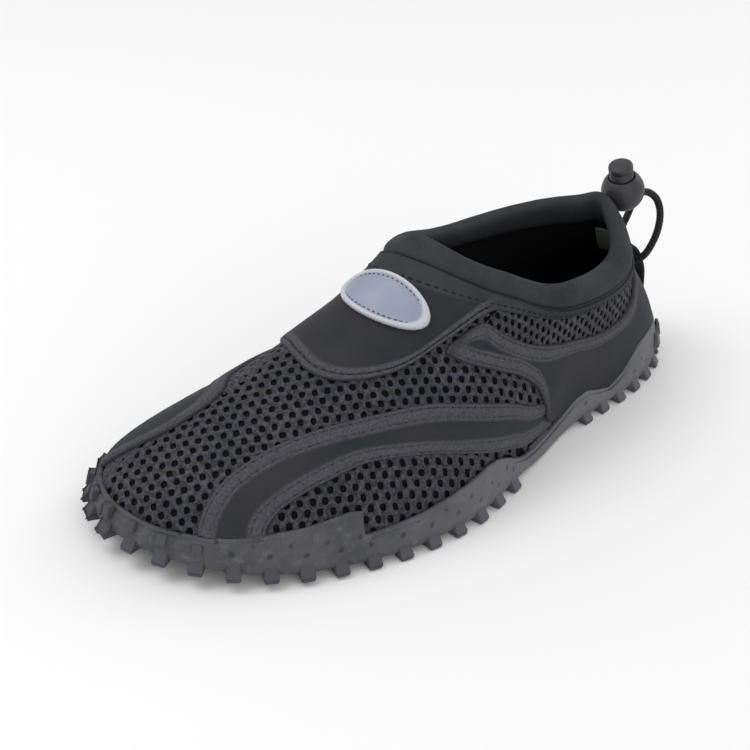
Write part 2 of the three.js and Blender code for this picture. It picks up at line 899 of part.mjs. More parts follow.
function heel_strap() {
  const seat = curved_gap + overlay_thickness;
  const steps = 12;
  const top = [];
  const back = [];
  for (let i = 0; i <= steps; i++) {
    const place = (i / steps) * (STRAP.length - 1);
    const up = along(STRAP, "up", place);
    const off = seat + along(STRAP, "off", place);
    const centre = layer(heel_at, up, off);
    const facing = normal(heel_at, up).setX(0).normalize();
    const row = (lift) =>
      [1, -1].map((side) => {
        const point = centre.clone().addScaledVector(facing, lift);
        point.x += (side * strap_width) / 2;
        return point;
      });
    top.push(row(strap_thickness));
    back.push(row(0));
  }
  return slab(top, back);
}

// Cord lock: a ball with a spring button, lying against the back of the collar
const lock_tilt = THREE.MathUtils.degToRad(20);
const lock_centre = (() => {
  const { centre, across } = collar_frame(heel_at);
  const back = across.clone().setX(0).normalize();
  const reach = collar_thickness / 2 + ball_radius + fit_gap;
  return centre.clone().addScaledVector(back, reach).add(new THREE.Vector3(-0.7, 0.9, -1.9));
})();

function turned(shape, rise_by) {
  shape.rotateX(Math.PI / 2);
  shape.translate(0, 0, rise_by);
  shape.rotateX(lock_tilt);
  shape.translate(lock_centre.x, lock_centre.y, lock_centre.z);
  return shape;
}

function lathe(profile, sides) {
  return new THREE.LatheGeometry(profile.map(([r, z]) => new THREE.Vector2(r, z)), sides);
}

function cord_lock_body() {
  const bore = button_radius + button_clearance;
  const floor = ball_height(bore) - button_depth - button_travel - button_clearance;
  const profile = [[0, -ball_radius]];
  const steps = 10;
  const last = Math.PI - Math.asin((bore + 0.6) / ball_radius);
  for (let i = 1; i <= steps; i++) {
    const angle = (last * i) / steps;
    profile.push([ball_radius * Math.sin(angle), -ball_radius * Math.cos(angle)]);
  }
  profile.push([bore, ball_height(bore + 0.6)], [bore, floor], [0, floor]);
  const ball = solid(turned(lathe(profile, 24), 0));
  const slot = new THREE.BoxGeometry(2 * cord_diameter + 2.6, 2 * pocket_depth, cord_diameter + 1);
  slot.translate(0, ball_radius - 0.6, 0);
  slot.rotateX(-lock_tilt);
  slot.translate(lock_centre.x, lock_centre.y, lock_centre.z);
  return shape_of(ball.subtract(solid(slot)));
}

function ball_height(radius) {
  return Math.sqrt(ball_radius ** 2 - radius ** 2);
}

function cord_lock_button() {
  const top = ball_height(button_radius) + button_proud;
  const bottom = ball_height(button_radius + button_clearance) - button_depth;
  const chamfer = 0.8;
  const profile = [
    [0, bottom],
    [button_radius, bottom],
    [button_radius, top - chamfer],
    [button_radius - chamfer, top],
    [0, top],
  ];
  return turned(lathe(profile, 24), 0);
}

// Elastic cord: a loop from the back of the lock down behind the pull strap and up again.
// The points are chosen by hand, the outer strand first, as offsets from the centre of the ball.
const CORD = table(
  ["x", "y", "z"],
  [
    [2.6, 9.6, -2.4],
    [3.9, 13.9, -3.3],
    [5.9, 17.2, -6.2],
    [7.5, 18.9, -11],
    [8.5, 18.8, -16.4],
    [9, 17.2, -21.6],
    [9, 14.8, -26.2],
    [8.2, 12.3, -30.4],
    [5.7, 10.7, -33.7],
    [2, 10.7, -35.5],
    [-1.8, 10.9, -35.6],
    [-5.3, 11, -33.9],
    [-7.9, 13, -30.2],
    [-8.9, 16.2, -25.8],
    [-9, 19.2, -20.8],
    [-8.7, 21.2, -15.4],
    [-7.6, 21, -10],
    [-5.6, 17.8, -5.8],
    [-3.9, 13.6, -3.8],
    [-2.6, 9.6, -2.9],
  ],
);

function drawcord() {
  const route = CORD.map((row) => new THREE.Vector3(row.x, row.y, row.z).add(lock_centre));
  const section = new THREE.Shape();
  const sides = 8;
  for (let i = 0; i < sides; i++) {
    const angle = (2 * Math.PI * i) / sides;
    const point = [(Math.cos(angle) * cord_diameter) / 2, (Math.sin(angle) * cord_diameter) / 2];
    if (i === 0) section.moveTo(...point);
    else section.lineTo(...point);
  }
  section.closePath();
  const path = new THREE.CatmullRomCurve3(route);
  return new THREE.ExtrudeGeometry(section, { steps: 24, extrudePath: path, bevelEnabled: false });
}

const shoe = new THREE.Group();
shoe.add(named("outsole", outsole(), rubber));
shoe.add(named("insole", insole(), smooth_fabric));
shoe.add(named("upper", upper(), mesh_fabric));
shoe.add(named("collar", collar(), smooth_fabric));
shoe.add(named("instep_patch", instep_patch(), smooth_fabric));
shoe.add(named("side_panel_outer", side_panel(ARM_OUTER, false), smooth_fabric));
shoe.add(named("side_panel_inner", side_panel(ARM_INNER, true), smooth_fabric));
shoe.add(named("badge", badge(), badge_vinyl));
shoe.add(named("heel_strap", heel_strap(), smooth_fabric));
shoe.add(named("cord_lock_body", cord_lock_body(), lock_plastic));
shoe.add(named("cord_lock_button", cord_lock_button(), lock_plastic));
shoe.add(named("drawcord", drawcord(), cord_elastic));

export default shoe;
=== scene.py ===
"""Looks of the water shoe: every fabric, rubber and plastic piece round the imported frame."""
import math
from functools import partial

import bmesh
import bpy
import numpy as np
from mathutils import Matrix, Vector
from mathutils.bvhtree import BVHTree


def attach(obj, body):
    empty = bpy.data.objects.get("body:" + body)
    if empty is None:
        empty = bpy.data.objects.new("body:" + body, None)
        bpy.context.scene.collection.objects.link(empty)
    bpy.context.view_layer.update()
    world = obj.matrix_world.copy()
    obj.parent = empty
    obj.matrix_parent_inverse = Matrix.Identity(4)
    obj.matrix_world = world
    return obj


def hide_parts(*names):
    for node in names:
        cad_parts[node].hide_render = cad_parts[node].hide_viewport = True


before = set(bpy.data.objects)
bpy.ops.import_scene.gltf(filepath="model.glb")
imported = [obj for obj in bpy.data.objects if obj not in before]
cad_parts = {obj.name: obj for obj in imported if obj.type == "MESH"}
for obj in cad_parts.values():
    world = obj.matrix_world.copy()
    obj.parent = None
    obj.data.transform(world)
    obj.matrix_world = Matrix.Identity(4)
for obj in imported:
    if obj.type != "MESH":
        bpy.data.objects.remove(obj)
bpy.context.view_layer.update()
MM = 0.001
SCENE = bpy.context.scene

# Camera: its place in millimetres, heading, height angle and roll in degrees, and its lens
CAMERA_PLACE = Vector((343.88, -388.90, 319.98)) * MM
CAMERA_HEADING = math.radians(43.82)
CAMERA_HEIGHT = math.radians(29.53)
CAMERA_ROLL = math.radians(4.17)
CAMERA_LENS = 73.25


def make_camera():
    data = bpy.data.cameras.new("camera")
    data.lens = CAMERA_LENS
    data.clip_start, data.clip_end = 0.01, 10
    camera = bpy.data.objects.new("camera", data)
    SCENE.collection.objects.link(camera)
    level = math.cos(CAMERA_HEIGHT)
    ahead, aside = math.cos(CAMERA_HEADING), math.sin(CAMERA_HEADING)
    back = Vector((aside * level, -ahead * level, math.sin(CAMERA_HEIGHT)))
    right = (-back).cross(Vector((0, 0, 1))).normalized()
    top = right.cross(-back)
    turned = right * math.cos(CAMERA_ROLL) + top * math.sin(CAMERA_ROLL)
    raised = top * math.cos(CAMERA_ROLL) - right * math.sin(CAMERA_ROLL)
    axes = Matrix((turned, raised, back)).transposed().to_4x4()
    camera.matrix_world = Matrix.Translation(CAMERA_PLACE) @ axes
    SCENE.camera = camera


make_camera()

# Sizes of the shoe in millimetres, the same as in the part
SOLE_LENGTH = 282
BALL_WIDTH = 106.4
THROAT_HEIGHT = 86.5
SIDE_HEIGHT = 22.5
TREAD_DEPTH = 2.2
SOLE_FLOOR = 4.3
TOE_SPRING = 7
ARCH_RISE = 0.5
CUP_WALL = 1.6
FOOT_INSET = CUP_WALL + 2
COLLAR_LENGTH = 135
COLLAR_WIDTH = 68
COLLAR_SKEW = 3.5
COLLAR_SQUARENESS = 2.15
COLLAR_CENTRE_Y = 43.5
COLLAR_THICKNESS = 7.4
ROUND = 28


def table(columns, rows):
    return dict(zip(columns, np.array(rows, float).T))


# The sole's outline, as shares of half the ball width and half the sole length
OUTLINE = table(("at", "across", "along"), [
    (0, -0.19, -1.0), (1, 0.17, -0.965), (2, 0.51, -0.87), (3, 0.75, -0.73), (4, 0.9, -0.575),
    (5, 1.005, -0.4), (6, 1.02, -0.21), (7, 0.92, -0.03), (8, 0.805, 0.14), (9, 0.67, 0.32),
    (10, 0.61, 0.51), (11, 0.555, 0.69), (12, 0.41, 0.86), (13, 0.19, 0.96), (14, -0.075, 1.0),
    (15, -0.34, 0.98), (16, -0.545, 0.895), (17, -0.66, 0.745), (18, -0.675, 0.57), (19, -0.64, 0.37),
    (20, -0.61, 0.17), (21, -0.66, -0.02), (22, -0.8, -0.21), (23, -0.94, -0.4), (24, -1.0, -0.58),
    (25, -0.96, -0.76), (26, -0.81, -0.905), (27, -0.525, -0.98),
])
# Ribs of the last as shares of the throat height, and the place of each on the collar seam in degrees
RIBS = table(("at", "swell", "rise", "run", "drop", "turn", "height"), [
    (0, 0.023, 0.28, 0.505, 0.53, 0, 1.0), (3, 0.027, 0.3, 0.49, 0.485, 24, 0.975),
    (6, 0.028, 0.33, 0.41, 0.315, 55, 0.845), (9, 0.028, 0.275, 0.22, 0.23, 90, 0.67),
    (12, 0.03, 0.255, 0.07, 0.21, 146, 0.635), (14, 0.025, 0.3, 0.04, 0.21, 180, 0.73),
    (16, 0.03, 0.255, 0.07, 0.21, 212, 0.68), (19, 0.028, 0.275, 0.22, 0.23, 270, 0.685),
    (22, 0.015, 0.255, 0.405, 0.415, 306, 0.82), (25, 0.023, 0.215, 0.485, 0.56, 338, 0.935),
])
# Crest of the collar inside and above its seam, as shares of its thickness
CREST = table(("at", "inward", "up"), [
    (0, 1.2, 0.88), (3, 1.1, 0.95), (6, 0.75, 1.15), (9, 0.55, 1.3), (12, 1.0, 1.55), (14, 1.25, 1.9),
    (16, 0.95, 1.95), (19, 0.55, 1.5), (22, 0.75, 1.15), (25, 1.1, 0.95),
])
# Height of the sole's side as a share of SIDE_HEIGHT, straight between rows and the same on both sides
RIM = table(("at", "height"), [
    (0, 0.82), (1, 0.8), (2, 0.82), (3, 0.89), (3.7, 1), (3.98, 0.96), (4.02, 0.56), (5, 0.64),
    (5.8, 0.78), (6.3, 0.89), (6.6, 0.85), (6.95, 0.7), (7.3, 0.5), (7.65, 0.34), (8.1, 0.3),
    (8.6, 0.31), (8.95, 0.4), (9.3, 0.58), (9.6, 0.62), (9.9, 0.48), (10.3, 0.34), (10.65, 0.53),
    (10.9, 0.76), (11.2, 0.92), (11.8, 0.94), (12.6, 0.9), (14, 0.9),
])
# Ribs of the panels' toe bands, from their lower to their upper edge
ARM_OUTER = table(("low_at", "low_up", "high_at", "high_up"), [
    (2.5, 0.1, 1.45, 0.1), (2.45, 0.19, 1.35, 0.24), (2.6, 0.28, 1.35, 0.37), (3.0, 0.36, 1.7, 0.5),
    (3.7, 0.42, 2.5, 0.58), (4.8, 0.39, 3.7, 0.615), (5.7, 0.31, 4.9, 0.6), (6.8, 0.18, 6.6, 0.48),
    (7.6, 0.08, 7.6, 0.35), (8.7, 0.0, 8.6, 0.24),
])
ARM_INNER = table(("low_at", "low_up", "high_at", "high_up"), [
    (19.3, 0.0, 19.4, 0.24), (20.4, 0.08, 20.4, 0.35), (21.2, 0.18, 21.4, 0.48),
    (22.3, 0.31, 23.1, 0.6), (23.2, 0.39, 24.5, 0.63), (24.3, 0.42, 25.8, 0.62),
    (25.0, 0.36, 27.0, 0.58), (25.4, 0.28, 27.2, 0.46),
    (25.55, 0.19, 26.8, 0.29), (25.5, 0.1, 26.3, 0.1),
])
# Lower and upper edge of the quarter
QUARTER = table(("at", "low_up", "high_up", "low_welt", "high_welt"), [
    (4.4, 0.79, 0.82, 1, 0), (5.3, 0.735, 0.895, 1, 1), (6.1, 0.68, 0.85, 1, 1), (7.0, 0.6, 0.8, 1, 1),
    (7.7, 0.47, 0.775, 1, 1), (8.1, 0.29, 0.765, 1, 1), (8.4, 0.1, 0.755, 0, 1), (9.0, 0.0, 0.73, 0, 1),
    (9.8, 0.0, 0.67, 0, 1), (10.6, 0.0, 0.68, 0, 1), (11.3, 0.0, 0.75, 0, 1), (11.8, 0.0, 0.86, 0, 1),
    (12.2, 0.0, 0.97, 0, 0), (13.0, 0.0, 0.97, 0, 0), (14.0, 0.0, 0.97, 0, 0),
])
# Lower edge of the patch on the instep
INSTEP = table(("at", "low_up"), [
    (-5.9, 0.95), (-5.1, 0.91), (-4.1, 0.82), (-3.2, 0.77), (-2, 0.745), (-1, 0.745),
    (0, 0.73), (1, 0.71), (2, 0.71), (3.2, 0.745), (4.1, 0.82), (5.1, 0.91), (5.8, 0.95),
])
PATCH_TOP = 1.0


def around(rows, column, at, per_lap=0.0):
    """A value round the shoe, smooth through a table's rows over the closed loop."""
    at = np.asarray(at, float)
    lap = np.floor(at / ROUND)
    place = at - lap * ROUND
    starts, values = rows["at"], rows[column]
    count = len(starts)
    index = np.searchsorted(starts, place, side="right") - 1

    def row(step):
        turns = np.floor((index + step) / count)
        which = (index + step - turns * count).astype(int)
        return starts[which] + turns * ROUND, values[which] + turns * per_lap

    (t0, v0), (t1, v1), (t2, v2), (t3, v3) = row(-1), row(0), row(1), row(2)
    span = t2 - t1
    t = (place - t1) / span
    slope1, slope2 = (v2 - v0) / (t2 - t0) * span, (v3 - v1) / (t3 - t1) * span
    cubic = (2 * t**3 - 3 * t**2 + 1) * v1 + (t**3 - 2 * t**2 + t) * slope1
    cubic += (3 * t**2 - 2 * t**3) * v2 + (t**3 - t**2) * slope2
    return cubic + lap * per_lap


def through(a, b, c, d, t):
    """A share t of the way from b to c, on the smooth curve through four values."""
    return 0.5 * (2 * b + (c - a) * t + (2 * a - 5 * b + 4 * c - d) * t**2 + (3 * b - a - 3 * c + d) * t**3)


def along(rows, column, place):
    """A value along an open table, smooth through its rows."""
    values = rows[column]
    index = np.clip(np.floor(place).astype(int), 0, len(values) - 2)
    near = [values[np.clip(index + k, 0, len(values) - 1)] for k in (-1, 0, 1, 2)]
    return through(*near, place - index)


def vectors(x, y, z):
    x, y, z = np.broadcast_arrays(x, y, z)
    return np.stack([x, y, z], -1).astype(float)


def unit(v):
    return v / np.linalg.norm(v, axis=-1, keepdims=True)


def outline(at):
    x = around(OUTLINE, "across", at) * BALL_WIDTH / 2
    return vectors(x, around(OUTLINE, "along", at) * SOLE_LENGTH / 2, 0)


def outward(at):
    step = outline(np.asarray(at) + 0.02) - outline(np.asarray(at) - 0.02)
    return unit(vectors(step[..., 1], -step[..., 0], 0))


def sole_rise(y):
    share = y / (SOLE_LENGTH / 2)
    toe = np.maximum(0, (-0.44 - share) / 0.56)
    arch = np.maximum(0, 1 - ((share - 0.16) / 0.24) ** 2)
    return TOE_SPRING * toe**2 + ARCH_RISE * arch


def seam(at):
    turn = np.radians(around(RIBS, "turn", at, 360))
    power = 2 / COLLAR_SQUARENESS
    forward = np.sign(np.cos(turn)) * np.abs(np.cos(turn)) ** power
    sideways = np.sign(np.sin(turn)) * np.abs(np.sin(turn)) ** power
    x = sideways * COLLAR_WIDTH / 2 + forward * COLLAR_SKEW
    y = COLLAR_CENTRE_Y - forward * COLLAR_LENGTH / 2
    return vectors(x, y, around(RIBS, "height", at) * THROAT_HEIGHT)


def surface(at, up):
    """Points of the last's surface, up running from 0 at the sole to 1 at the collar seam."""
    at, up = np.broadcast_arrays(np.asarray(at, float), np.asarray(up, float))
    out = outward(at)
    foot = outline(at) - out * FOOT_INSET
    foot[..., 2] = TREAD_DEPTH + SOLE_FLOOR + sole_rise(foot[..., 1])
    top = seam(at)
    low = foot + out * (around(RIBS, "swell", at) * THROAT_HEIGHT)[..., None]
    low[..., 2] += around(RIBS, "rise", at) * THROAT_HEIGHT
    away = foot - top
    away[..., 2] = 0
    high = top + away * around(RIBS, "run", at)[..., None]
    high[..., 2] -= around(RIBS, "drop", at) * THROAT_HEIGHT
    t = up[..., None]
    return (1 - t) ** 3 * foot + 3 * (1 - t) ** 2 * t * low + 3 * (1 - t) * t**2 * high + t**3 * top


def normal(at, up):
    at, up = np.broadcast_arrays(np.asarray(at, float), np.asarray(up, float))
    step = 0.01
    low, high = np.clip(up - step, 0, 1), np.clip(up + step, 0, 1)
    lengthwise = surface(at + step, up) - surface(at - step, up)
    return unit(np.cross(lengthwise, surface(at, high) - surface(at, low)))


def layer(at, up, off):
    return surface(at, up) + normal(at, up) * np.asarray(off, float)[..., None]


def up_at_height(at, height):
    """The share of the way up at which the last reaches a height."""
    at = np.asarray(at, float)
    low, high = np.zeros(at.shape), np.ones(at.shape)
    for _ in range(18):
        middle = (low + high) / 2
        below = surface(at, middle)[..., 2] < height
        low, high = np.where(below, middle, low), np.where(below, high, middle)
    return (low + high) / 2


def rim_height(at):
    place = np.mod(at, ROUND)
    return SIDE_HEIGHT * np.interp(np.minimum(place, ROUND - place), RIM["at"], RIM["height"])


def rim_up(at, drop=0.0):
    """The share of the way up at which the last reaches the rim, or a drop under it."""
    return up_at_height(at, rim_height(at) - drop)


def ease(low, high, value):
    t = np.clip((value - low) / (high - low), 0, 1)
    return t * t * (3 - 2 * t)


def lengths_to(points):
    """Length of a line of points up to each of them."""
    return np.concatenate([[0], np.cumsum(np.linalg.norm(np.diff(points, axis=0), axis=1))])


# Making pieces


def finish_piece(mesh, name, material, nodes=(), body="shoe", smooth=True):
    mesh.name = name
    obj = bpy.data.objects.new(name, mesh)
    SCENE.collection.objects.link(obj)
    mesh.materials.append(material)
    if smooth:
        mesh.shade_smooth()
    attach(obj, body)
    if nodes:
        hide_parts(*nodes)
    return obj


def weld(bm, distance):
    bmesh.ops.remove_doubles(bm, verts=bm.verts, dist=distance)


def mesh_of(bm, recalc=True):
    if recalc:
        bmesh.ops.recalc_face_normals(bm, faces=bm.faces)
    mesh = bpy.data.meshes.new("piece")
    bm.to_mesh(mesh)
    bm.free()
    return mesh


def draped_grid(columns, rows, place, uv_size=(1.0, 1.0), uv_rule=None):
    """A grid whose points place(share along, share across) gives in millimetres, for shares from 0 to 1."""
    bm = bmesh.new()
    uv = bm.loops.layers.uv.new("UVMap")
    bmesh.ops.create_grid(bm, x_segments=columns, y_segments=rows, size=0.5)
    shares = np.array([v.co[:2] for v in bm.verts]) + 0.5
    points = place(shares[:, 0], shares[:, 1]) * MM
    flats = uv_rule(shares, points / MM) if uv_rule else shares * uv_size
    flat = dict(zip(bm.verts, flats))
    for face in bm.faces:
        for loop in face.loops:
            loop[uv].uv = flat[loop.vert]
    for vert, point in zip(bm.verts, points):
        vert.co = point
    return bm


def paint(mesh, name, values):
    attribute = mesh.attributes.new(name, "FLOAT", "POINT")
    attribute.data.foreach_set("value", np.asarray(values, np.float32))


def thicken(obj, thickness, offset=-1.0):
    modifier = obj.modifiers.new("thickness", "SOLIDIFY")
    modifier.thickness = thickness * MM
    modifier.offset = offset
    modifier.use_rim = True
    return obj


# Lugs of the tread, short lugs of the heel and toe, and studs underneath
LUG_PITCH, LUG_WIDTH, LUG_REACH, LUG_ROOT = 12.6, 5.8, 2.8, 6.0
HEEL_LUG_BASE, HEEL_LUG_HEIGHT, HEEL_LUG_SPAN = 10.0, 6.0, 2.4
TOE_NUBS_FROM = 24.2
WAISTS = ((7.55, 9.35), (18.65, 20.45))
WAIST_DROP = 1.9
HEEL_AT = 14.0
STUD_ROWS = (-0.84, -0.72, -0.6, -0.48, -0.36, -0.24, -0.12, 0.5, 0.62, 0.74, 0.86)
STUD_SPACING, STUD_EDGE = 17, 30
BLOCK_ROUND = 0.5

# Shader maths


class Value:
    """A node's output that can be added, subtracted and multiplied."""

    tree = None

    def __init__(self, socket):
        self.socket = socket

    def _with(self, operation, other, swapped=False):
        pair = (other, self) if swapped else (self, other)
        return node("ShaderNodeMath", {"operation": operation}, *pair)

    def __add__(self, other):
        return self._with("ADD", other)

    __radd__ = __add__

    def __sub__(self, other):
        return self._with("SUBTRACT", other)

    def __rsub__(self, other):
        return self._with("SUBTRACT", other, True)

    def __mul__(self, other):
        return self._with("MULTIPLY", other)

    __rmul__ = __mul__

    def __getitem__(self, name):
        return Value(self.socket.node.outputs[name])


def fill(socket, value):
    """Links a node's output to a socket, or sets the socket to a constant."""
    if isinstance(value, Value):
        Value.tree.links.new(value.socket, socket)
    else:
        socket.default_value = value


def node(kind, settings, *values, **named):
    made = Value.tree.nodes.new(kind)
    for key, setting in settings.items():
        setattr(made, key, setting)
    for key, value in list(enumerate(values)) + list(named.items()):
        fill(made.inputs[key], value)
    return Value(next(o for o in made.outputs if o.enabled))


def smooth_step(value, low, high):
    return node("ShaderNodeMapRange", {"interpolation_type": "SMOOTHSTEP"}, value, low, high, 0.0, 1.0)


def mix(factor, first, second):
    made = Value.tree.nodes.new("ShaderNodeMix")
    made.data_type = "RGBA"
    for number, value in ((0, factor), (6, first), (7, second)):
        fill(made.inputs[number], colour(value) if isinstance(value, str) else value)
    return Value(made.outputs[2])


def colour(hexa):
    """A web colour as linear light."""
    parts = [int(hexa[i : i + 2], 16) / 255 for i in (1, 3, 5)]
    return (*[p / 12.92 if p <= 0.04045 else ((p + 0.055) / 1.055) ** 2.4 for p in parts], 1)


def material(name, build, **constants):
    made = bpy.data.materials.new(name)
    made.use_nodes = True
    tree = made.node_tree
    Value.tree = tree
    shader = tree.nodes["Principled BSDF"]
    for key, value in list(constants.items()) + list(build().items()):
        fill(shader.inputs[key.replace("_", " ")], value)
    return made


def object_place():
    return node("ShaderNodeTexCoord", {})["Object"]


def noise(scale, detail, roughness=0.55):
    grain = {"Scale": scale, "Detail": detail, "Roughness": roughness}
    return node("ShaderNodeTexNoise", {}, Vector=object_place(), **grain)


def looks(tone, roughness, height, distance, strength):
    """What a look gives its material, with bumps from a height."""
    bump = node("ShaderNodeBump", {}, Height=height, Distance=distance * MM, Strength=strength)
    return {"Base_Color": tone, "Roughness": roughness, "Normal": bump}


def sine(turns):
    return node("ShaderNodeMath", {"operation": "SINE"}, turns * 2 * math.pi)


def painted(name):
    return node("ShaderNodeAttribute", {"attribute_name": name})["Fac"]


def flat_place():
    return node("ShaderNodeSeparateXYZ", {}, node("ShaderNodeUVMap", {"uv_map": "UVMap"}))


def towards_heel(share):
    """A share that grows from the ball of the foot to the middle of the shoe."""
    place = node("ShaderNodeSeparateXYZ", {}, object_place())
    return smooth_step(place["Y"], -0.11, 0.03) * share


def pits(flat, shift, height, radius):
    """Round pits along the sole's wall, one for each lug, as a mask for their bump and their painted shade.
    """
    turn = node("ShaderNodeMath", {"operation": "FRACT"}, flat["X"] + shift) - 0.5
    along_wall, above = turn * LUG_PITCH, flat["Y"] - height
    distance = node("ShaderNodeMath", {"operation": "SQRT"}, along_wall * along_wall + above * above)
    return 1 - smooth_step(distance, radius - 0.45, radius + 0.45)


def rubber_look():
    cloud, grain, fine, blotch = noise(55, 3), noise(900, 2), noise(2600, 2), noise(210, 4, 0.65)
    flat = flat_place()
    pit_and_shade = (pits(flat, 0.12, 9.6, 1.0) + pits(flat, 0.58, 13.2, 0.8)) * smooth_step(blotch, 0.3, 0.55)
    tone = mix(smooth_step(cloud, 0.3, 0.7), "#3d3e42", "#515155")
    tone = mix(towards_heel(0.55), tone, "#747478")
    worn = smooth_step(blotch, 0.5, 0.75)
    tone = mix(worn * 0.3, tone, "#808086")
    # Painted shade: the pits are darkened towards near-black, standing in for the shade inside each dimple;
    # the bump below shapes them
    tone = mix(pit_and_shade * 0.65, tone, "#1c1c1e")
    height = grain * 0.6 + fine * 0.4 - pit_and_shade * 6
    return looks(tone, 0.5 + 0.25 * grain, height, 0.12, 0.6)


def tread_look():
    cloud, grain = noise(90, 3), noise(900, 2)
    tone = mix(cloud, "#3b3b3f", "#55555a")
    tone = mix(towards_heel(0.5), tone, "#6c6c70")
    return looks(tone, 0.6 + 0.2 * grain, grain, 0.15, 0.5)


def knit_look():
    grain, cloud, loops = noise(1500, 2), noise(45, 2), noise(620, 3, 0.7)
    tone = mix(smooth_step(loops, 0.35, 0.7), "#25252a", "#4f4d56")
    tone = mix(smooth_step(cloud, 0.35, 0.7) * 0.4, tone, "#252b33")
    height = loops * 0.7 + grain * 0.3
    return looks(tone, 0.55 + 0.25 * grain, height, 0.3, 0.8)


def lining_look():
    grain = noise(900, 3)
    tone = mix(grain, "#0b0a0b", "#1a191a")
    return looks(tone, 0.95, grain, 0.3, 0.6)


def panel_look():
    welt = painted("welt")
    cloud, grain, fine, spots = noise(28, 3), noise(1100, 3, 0.7), noise(3200, 2), noise(260, 4, 0.65)
    plain = mix(smooth_step(cloud, 0.35, 0.68), "#23282d", "#302f33")
    raised = mix(smooth_step(grain, 0.3, 0.75), "#3a3a3f", "#54525a")
    # Painted highlight: the colour follows the welts' height, so their crowns are painted lighter and the
    # stitch grooves darker, standing in for light falling on the ridges
    tone = mix(welt, plain, raised)
    tone = mix(smooth_step(spots, 0.52, 0.75) * 0.35, tone, "#232326")
    height = grain * 0.7 + fine * 0.3
    return looks(tone, 0.62 + 0.22 * grain, height, 0.16, 0.7)


def collar_look():
    cloud, grain, fine = noise(40, 3), noise(1300, 3, 0.7), noise(3600, 2)
    tone = mix(smooth_step(cloud, 0.3, 0.7), "#2a2b2d", "#3a3b3e")
    tone = mix(smooth_step(grain, 0.4, 0.75) * 0.35, tone, "#46474a")
    return looks(tone, 0.85, grain * 0.6 + fine * 0.4, 0.12, 0.6)


def thread_look():
    grain = noise(3000, 2)
    return {"Base_Color": mix(grain, "#141416", "#26262a"), "Roughness": 0.7}


def badge_look():
    rim = painted("rim")
    cloud = noise(120, 2)
    field = mix(cloud, "#83899c", "#979bae")
    tone = mix(rim, field, "#bebec6")
    grain = noise(1800, 2)
    return looks(tone, 0.42 + 0.15 * grain, grain, 0.06, 0.5)


def webbing_look():
    flat = flat_place()
    weave = sine(flat["Y"]) * sine(flat["X"])
    tone = mix(smooth_step(weave, -0.6, 0.9), "#121214", "#2e2e32")
    return looks(tone, 0.8, weave, 0.25, 0.8)


def plastic_look():
    cloud, grain = noise(150, 3), noise(1600, 2)
    tone = mix(cloud, "#242427", "#343438")
    return looks(tone, 0.38 + 0.2 * grain, grain, 0.05, 0.5)


def cord_look():
    flat = flat_place()
    braid = sine(flat["X"] + flat["Y"]) * sine(flat["X"] - flat["Y"])
    tone = mix(smooth_step(braid, -0.5, 0.9), "#070708", "#1d1d20")
    return looks(tone, 0.75, braid, 0.3, 0.9)


def label_look():
    grain = noise(1500, 2)
    return {"Base_Color": mix(grain, "#50554c", "#6e7368"), "Roughness": 0.7}


RUBBER = material("rubber", rubber_look, Specular_IOR_Level=0.3)
TREAD = material("tread_rubber", tread_look, Specular_IOR_Level=0.3)
KNIT = material("mesh_knit", knit_look, Specular_IOR_Level=0.2)
LINING = material("lining_cloth", lining_look, Specular_IOR_Level=0.1)
PANEL = material("panel_cloth", panel_look, Specular_IOR_Level=0.2)
COLLAR = material("collar_knit", collar_look, Specular_IOR_Level=0.15)
THREAD = material("thread", thread_look, Specular_IOR_Level=0.2)
BADGE = material("badge_vinyl", badge_look)
WEBBING = material("webbing", webbing_look)
PLASTIC = material("lock_plastic", plastic_look)
CORD = material("elastic_cord", cord_look)
LABEL = material("label_cloth", label_look)

# The cord, with the same route as its solid, as offsets from the centre of the lock


def collar_frame(at):
    """Foot, axis, sideways direction and half height of the collar's section."""
    at = np.asarray(at, float)
    foot = layer(at, 1.0, -1.1)
    run = seam(at + 0.05) - seam(at - 0.05)
    run[..., 2] = 0
    run = unit(run)
    inward = vectors(-run[..., 1], run[..., 0], 0)
    axis = inward * (around(CREST, "inward", at) * COLLAR_THICKNESS)[..., None]
    axis[..., 2] += around(CREST, "up", at) * COLLAR_THICKNESS
    height = np.linalg.norm(axis, axis=-1)
    axis = unit(axis)
    across = unit(np.cross(run, axis))
    half = (height - 0.3) / 2
    return foot + axis * (0.3 + half)[..., None], axis, across, half


BALL_RADIUS = 9.2
lock_middle, _, lock_across, _ = collar_frame(HEEL_AT)
lock_across[0] = 0
LOCK_CENTRE = lock_middle + unit(lock_across) * (COLLAR_THICKNESS / 2 + BALL_RADIUS + 0.3) + (-0.7, 0.9, -1.9)
LOCK_TILT = math.radians(20)
CORD_DIAMETER = 3.2
BRAID_PITCH = 3.2
CORD_ROUTE = np.array([
    (2.6, 9.6, -2.4), (3.9, 13.9, -3.3), (5.9, 17.2, -6.2), (7.5, 18.9, -11), (8.5, 18.8, -16.4),
    (9, 17.2, -21.6), (9, 14.8, -26.2), (8.2, 12.3, -30.4), (5.7, 10.7, -33.7), (2, 10.7, -35.5),
    (-1.8, 10.9, -35.6), (-5.3, 11, -33.9), (-7.9, 13, -30.2), (-8.9, 16.2, -25.8), (-9, 19.2, -20.8),
    (-8.7, 21.2, -15.4), (-7.6, 21, -10), (-5.6, 17.8, -5.8), (-3.9, 13.6, -3.8), (-2.6, 9.6, -2.9),
])


def smooth_route(points, per_span):
    """Points on a smooth curve through a route."""
    padded = np.vstack([2 * points[0] - points[1], points, 2 * points[-1] - points[-2]])
    made = []
    for a, b, c, d in zip(padded, padded[1:], padded[2:], padded[3:]):
        for t in np.arange(per_span) / per_span:
            made.append(through(a, b, c, d, t))
    made.append(points[-1])
    return np.array(made)


